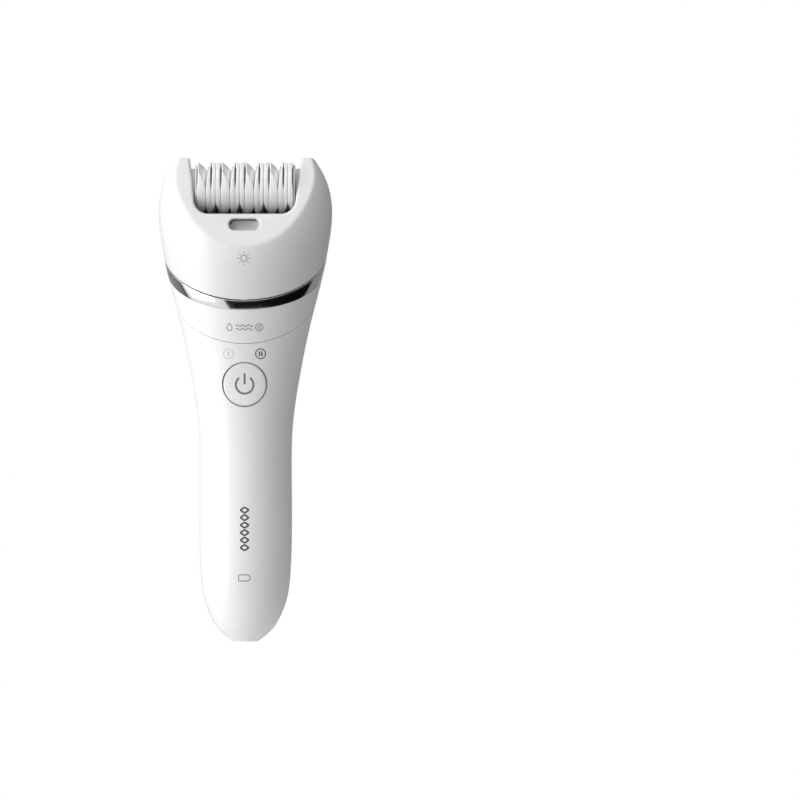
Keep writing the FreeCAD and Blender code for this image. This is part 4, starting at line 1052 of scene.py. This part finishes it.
# ------------------------------------------------------------------ studio
@dataclass
class Studio:
    """Camera, soft lights, dark and grey cards for the chrome to mirror, and a pale floor."""

    distance: float = 2.0
    camera_x: float = 0.05562
    camera_z: float = 0.08676
    frame_width: float = 0.288
    card_reach: float = 0.8
    floor_radius: float = 250.0
    floor_z: float = -76.0

    def camera(self) -> None:
        """Places the long-lens camera square to the front."""
        data = bpy.data.cameras.new("camera")
        data.sensor_width = 36.0
        data.lens = 36.0 * self.distance / self.frame_width
        data.clip_end = 20.0
        obj = bpy.data.objects.new("camera", data)
        obj.location = (self.camera_x, -self.distance, self.camera_z)
        obj.rotation_euler = (math.pi / 2, 0, 0)
        bpy.context.scene.collection.objects.link(obj)
        bpy.context.scene.camera = obj

    def light(
        self, name: str, azimuth: float, elevation: float, reach: float, size: Flat, power: float
    ) -> None:
        """Adds an area light that looks at the middle of the object.

        Args:
            name: the light's name.
            azimuth: degrees from the front towards +X.
            elevation: degrees above the horizon.
            reach: distance from the object in metres.
            size: the light's width and height in metres.
            power: in watts.
        """
        data = bpy.data.lights.new(name, "AREA")
        data.shape, data.size, data.size_y, data.energy = "RECTANGLE", size[0], size[1], power
        obj = bpy.data.objects.new(name, data)
        obj.visible_camera = False
        a, e = math.radians(azimuth), math.radians(elevation)
        aim = Vector((math.sin(a) * math.cos(e), -math.cos(a) * math.cos(e), math.sin(e)))
        obj.location = Vector((0, 0, 0.1)) + aim * reach
        obj.rotation_euler = aim.to_track_quat("Z", "Y").to_euler()
        bpy.context.scene.collection.objects.link(obj)

    def world(self) -> None:
        """White behind the object, and a softer, one-sided surround for light and reflections."""
        world = bpy.data.worlds.new("studio")
        bpy.context.scene.world = world
        world.use_nodes = True
        nodes, links = world.node_tree.nodes, world.node_tree.links
        nodes.clear()
        out, mix = nodes.new("ShaderNodeOutputWorld"), nodes.new("ShaderNodeMixShader")
        seen, lit = nodes.new("ShaderNodeBackground"), nodes.new("ShaderNodeBackground")
        path, where = nodes.new("ShaderNodeLightPath"), nodes.new("ShaderNodeTexCoord")
        split, ramp = nodes.new("ShaderNodeSeparateXYZ"), nodes.new("ShaderNodeMapRange")
        preset(seen, {"Color": (1, 1, 1, 1)})
        preset(ramp, {"From Min": -0.6, "From Max": 0.75, "To Min": 1.04, "To Max": 0.29})
        ramp.interpolation_type = "SMOOTHSTEP"
        join(
            links, (where, "Generated", split, 0), (split, "X", ramp, "Value"),
            (ramp, "Result", lit, "Strength"), (path, "Is Camera Ray", mix, "Fac"),
            (lit, 0, mix, 1), (seen, 0, mix, 2), (mix, 0, out, "Surface"),
        )

    def card(self, name: str, start: float, end: float, low: float, high: float) -> bpy.types.Object:
        """A curved card round the object between two azimuths and two elevations, in degrees."""
        points, steps, reach = [], 24, self.card_reach
        for elevation in (low, high):
            for k in range(steps + 1):
                a, e = math.radians(start + (end - start) * k / steps), math.radians(elevation)
                x, y = math.sin(a) * math.cos(e), -math.cos(a) * math.cos(e)
                points.append((x * reach / MM, y * reach / MM, 100 + math.sin(e) * reach / MM))
        obj = new_object(name, points, grid_faces(2, steps + 1, False, False))
        obj.visible_camera = False
        obj.visible_shadow = False
        obj.visible_diffuse = False
        return obj

    def stage(self, groups: Groups) -> None:
        """Builds everything round the object."""
        bpy.context.scene.view_settings.view_transform = "Standard"
        self.camera()
        self.world()
        self.light("key_left", -62, 12, 1.1, (0.9, 1.5), 9.5)
        self.light("fill_top", -10, 74, 1.0, (0.9, 0.7), 2)
        black = Finish("card_black", (0.002, 0.002, 0.002), 0.9, 0.95, specular=0.0).build(groups)
        grey = Finish("card_grey", (0.42, 0.422, 0.425), 0.9, 0.95, specular=0.0).build(groups)
        for name, start, end, low, high, finish in (
            ("card_right", -25, 104, -50, -7, black), ("card_edge", -99, -94, -60, 20, black),
            ("card_left", -172, -99, -60, 20, grey),
        ):
            card = self.card(name, start, end, low, high)
            card.data.materials.append(finish)
        floor = new_object("floor", *self._disc(self.floor_radius, self.floor_z))
        pale = bpy.data.materials.new("floor_white")
        pale.use_nodes = True
        preset(pale.node_tree.nodes["Principled BSDF"], {"Base Color": (0.9, 0.9, 0.9, 1), "Roughness": 0.7})
        floor.data.materials.append(pale)

    @staticmethod
    def _disc(radius: float, z: float) -> Shell:
        """A flat disc of points and one face."""
        points = [(radius * math.cos(a), radius * math.sin(a), z) for a in turn(96)]
        return points, [tuple(range(len(points)))]


# ------------------------------------------------------------------ assembly
@dataclass
class Epilator:
    """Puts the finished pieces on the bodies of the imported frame."""

    groups: Groups = field(default_factory=Groups)
    made: dict[str, bpy.types.Material] = field(default_factory=dict)

    def finish(self, name: str) -> bpy.types.Material:
        """The material of that name, built the first time it is asked for."""
        if name not in self.made:
            self.made[name] = FINISHES[name].build(self.groups)
        return self.made[name]

    def fit(self, obj: bpy.types.Object, body: Body, finish: str, slot: str, *nodes: str) -> None:
        """Dresses a piece, rides it on its body and lets it stand for CAD nodes."""
        obj.data.materials.clear()
        obj.data.materials.append(self.finish(finish))
        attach(obj, body.value)
        if nodes:
            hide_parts(*nodes)
        log.info("%s: %d faces on %s", obj.name, len(obj.data.polygons), body.value)

    def dress_frame(self) -> None:
        """Gives every CAD node the finish of its slot."""
        slots = {part["node"]: part["material_slot"] for part in frame["record"]["subparts"]}
        for name, obj in frame["nodes"].items():
            if name == "head_frame":
                material = two_tone_frame(self.groups)
            else:
                material = self.finish(SLOT_FINISH.get(slots[name], slots[name]))
            obj.data.materials.clear()
            obj.data.materials.append(material)

    def casing(self) -> None:
        """Handle halves, neck collar and chrome band."""
        button = PowerButton()
        for name, node, tool in (
            ("front_casing", "front_shell", button.tool),
            ("rear_casing", "rear_shell", Fittings().release_tool),
        ):
            half = HandleHalf(name, name == "front_casing").build()
            cut_away(half, tool())
            self.fit(smooth_by_angle(half, 38), Body.HANDLE, "white_casing", "white_shell", node)
        collar = SkinBand("neck_band", SEAM, BAND_FOOT, 0.03, 0.03, lip=0.09).build()
        self.fit(collar, Body.HANDLE, "white_casing", "white_shell", "neck_collar")
        chrome = SkinBand("chrome_band", BAND_FOOT, HEAD_FOOT, 0.03, 0.05, lip=0.14, crown=0.1).build()
        self.fit(chrome, Body.HANDLE, "chrome_band", "chrome_trim", "chrome_ring")
        self.fit(button.face(), Body.BUTTON, "button_face", "button_face", "power_button")
        self.fit(button.collar(), Body.HANDLE, "dark_trim", "dark_trim", "button_bezel")
        self.fit(button.symbol(), Body.BUTTON, "ink_mid", "dark_trim")

    def head(self) -> None:
        """Head shell and light bowl."""
        self.fit(HeadShell().build(), Body.HEAD, "white_head", "head_shell", "head_shell")
        self.fit(Fittings().lens(), Body.HEAD, "clear_bowl_painted_shade", "clear_plastic", "light_lens")
        # painted shadow: a dark ink line for the shade along the top of the light slot
        self.fit(Fittings().slot_shadow_line(), Body.HEAD, "ink_dark", "dark_trim")

    def drum(self) -> None:
        """Tweezer discs."""
        drum = TweezerDrum()
        for pair in range(drum.pairs):
            self.fit(drum.build(pair), Body.DRUM, "ceramic_disc", "ceramic_disc", f"tweezer_pair_{pair + 1}")

    def marks(self) -> None:
        """Printed signs."""
        marks = FrontMarks()
        self.fit(marks.lamp(), Body.HEAD, "ink_mid", "dark_trim")
        self.fit(marks.care(), Body.HANDLE, "ink_mid", "dark_trim")
        self.fit(marks.speed(False), Body.HANDLE, "ink_pale", "dark_trim")
        self.fit(marks.speed(True), Body.HANDLE, "ink_dark", "dark_trim", "light_pipes")
        self.fit(marks.lozenges(), Body.HANDLE, "ink_dark", "dark_trim")
        self.fit(marks.cell(), Body.HANDLE, "ink_mid", "dark_trim")


def main() -> None:
    """Builds the studio and the object."""
    logging.basicConfig(level=logging.INFO, format="%(message)s")
    epilator = Epilator()
    Studio().stage(epilator.groups)
    epilator.dress_frame()
    epilator.casing()
    epilator.head()
    epilator.drum()
    epilator.marks()


if __name__ == "__main__":
    main()
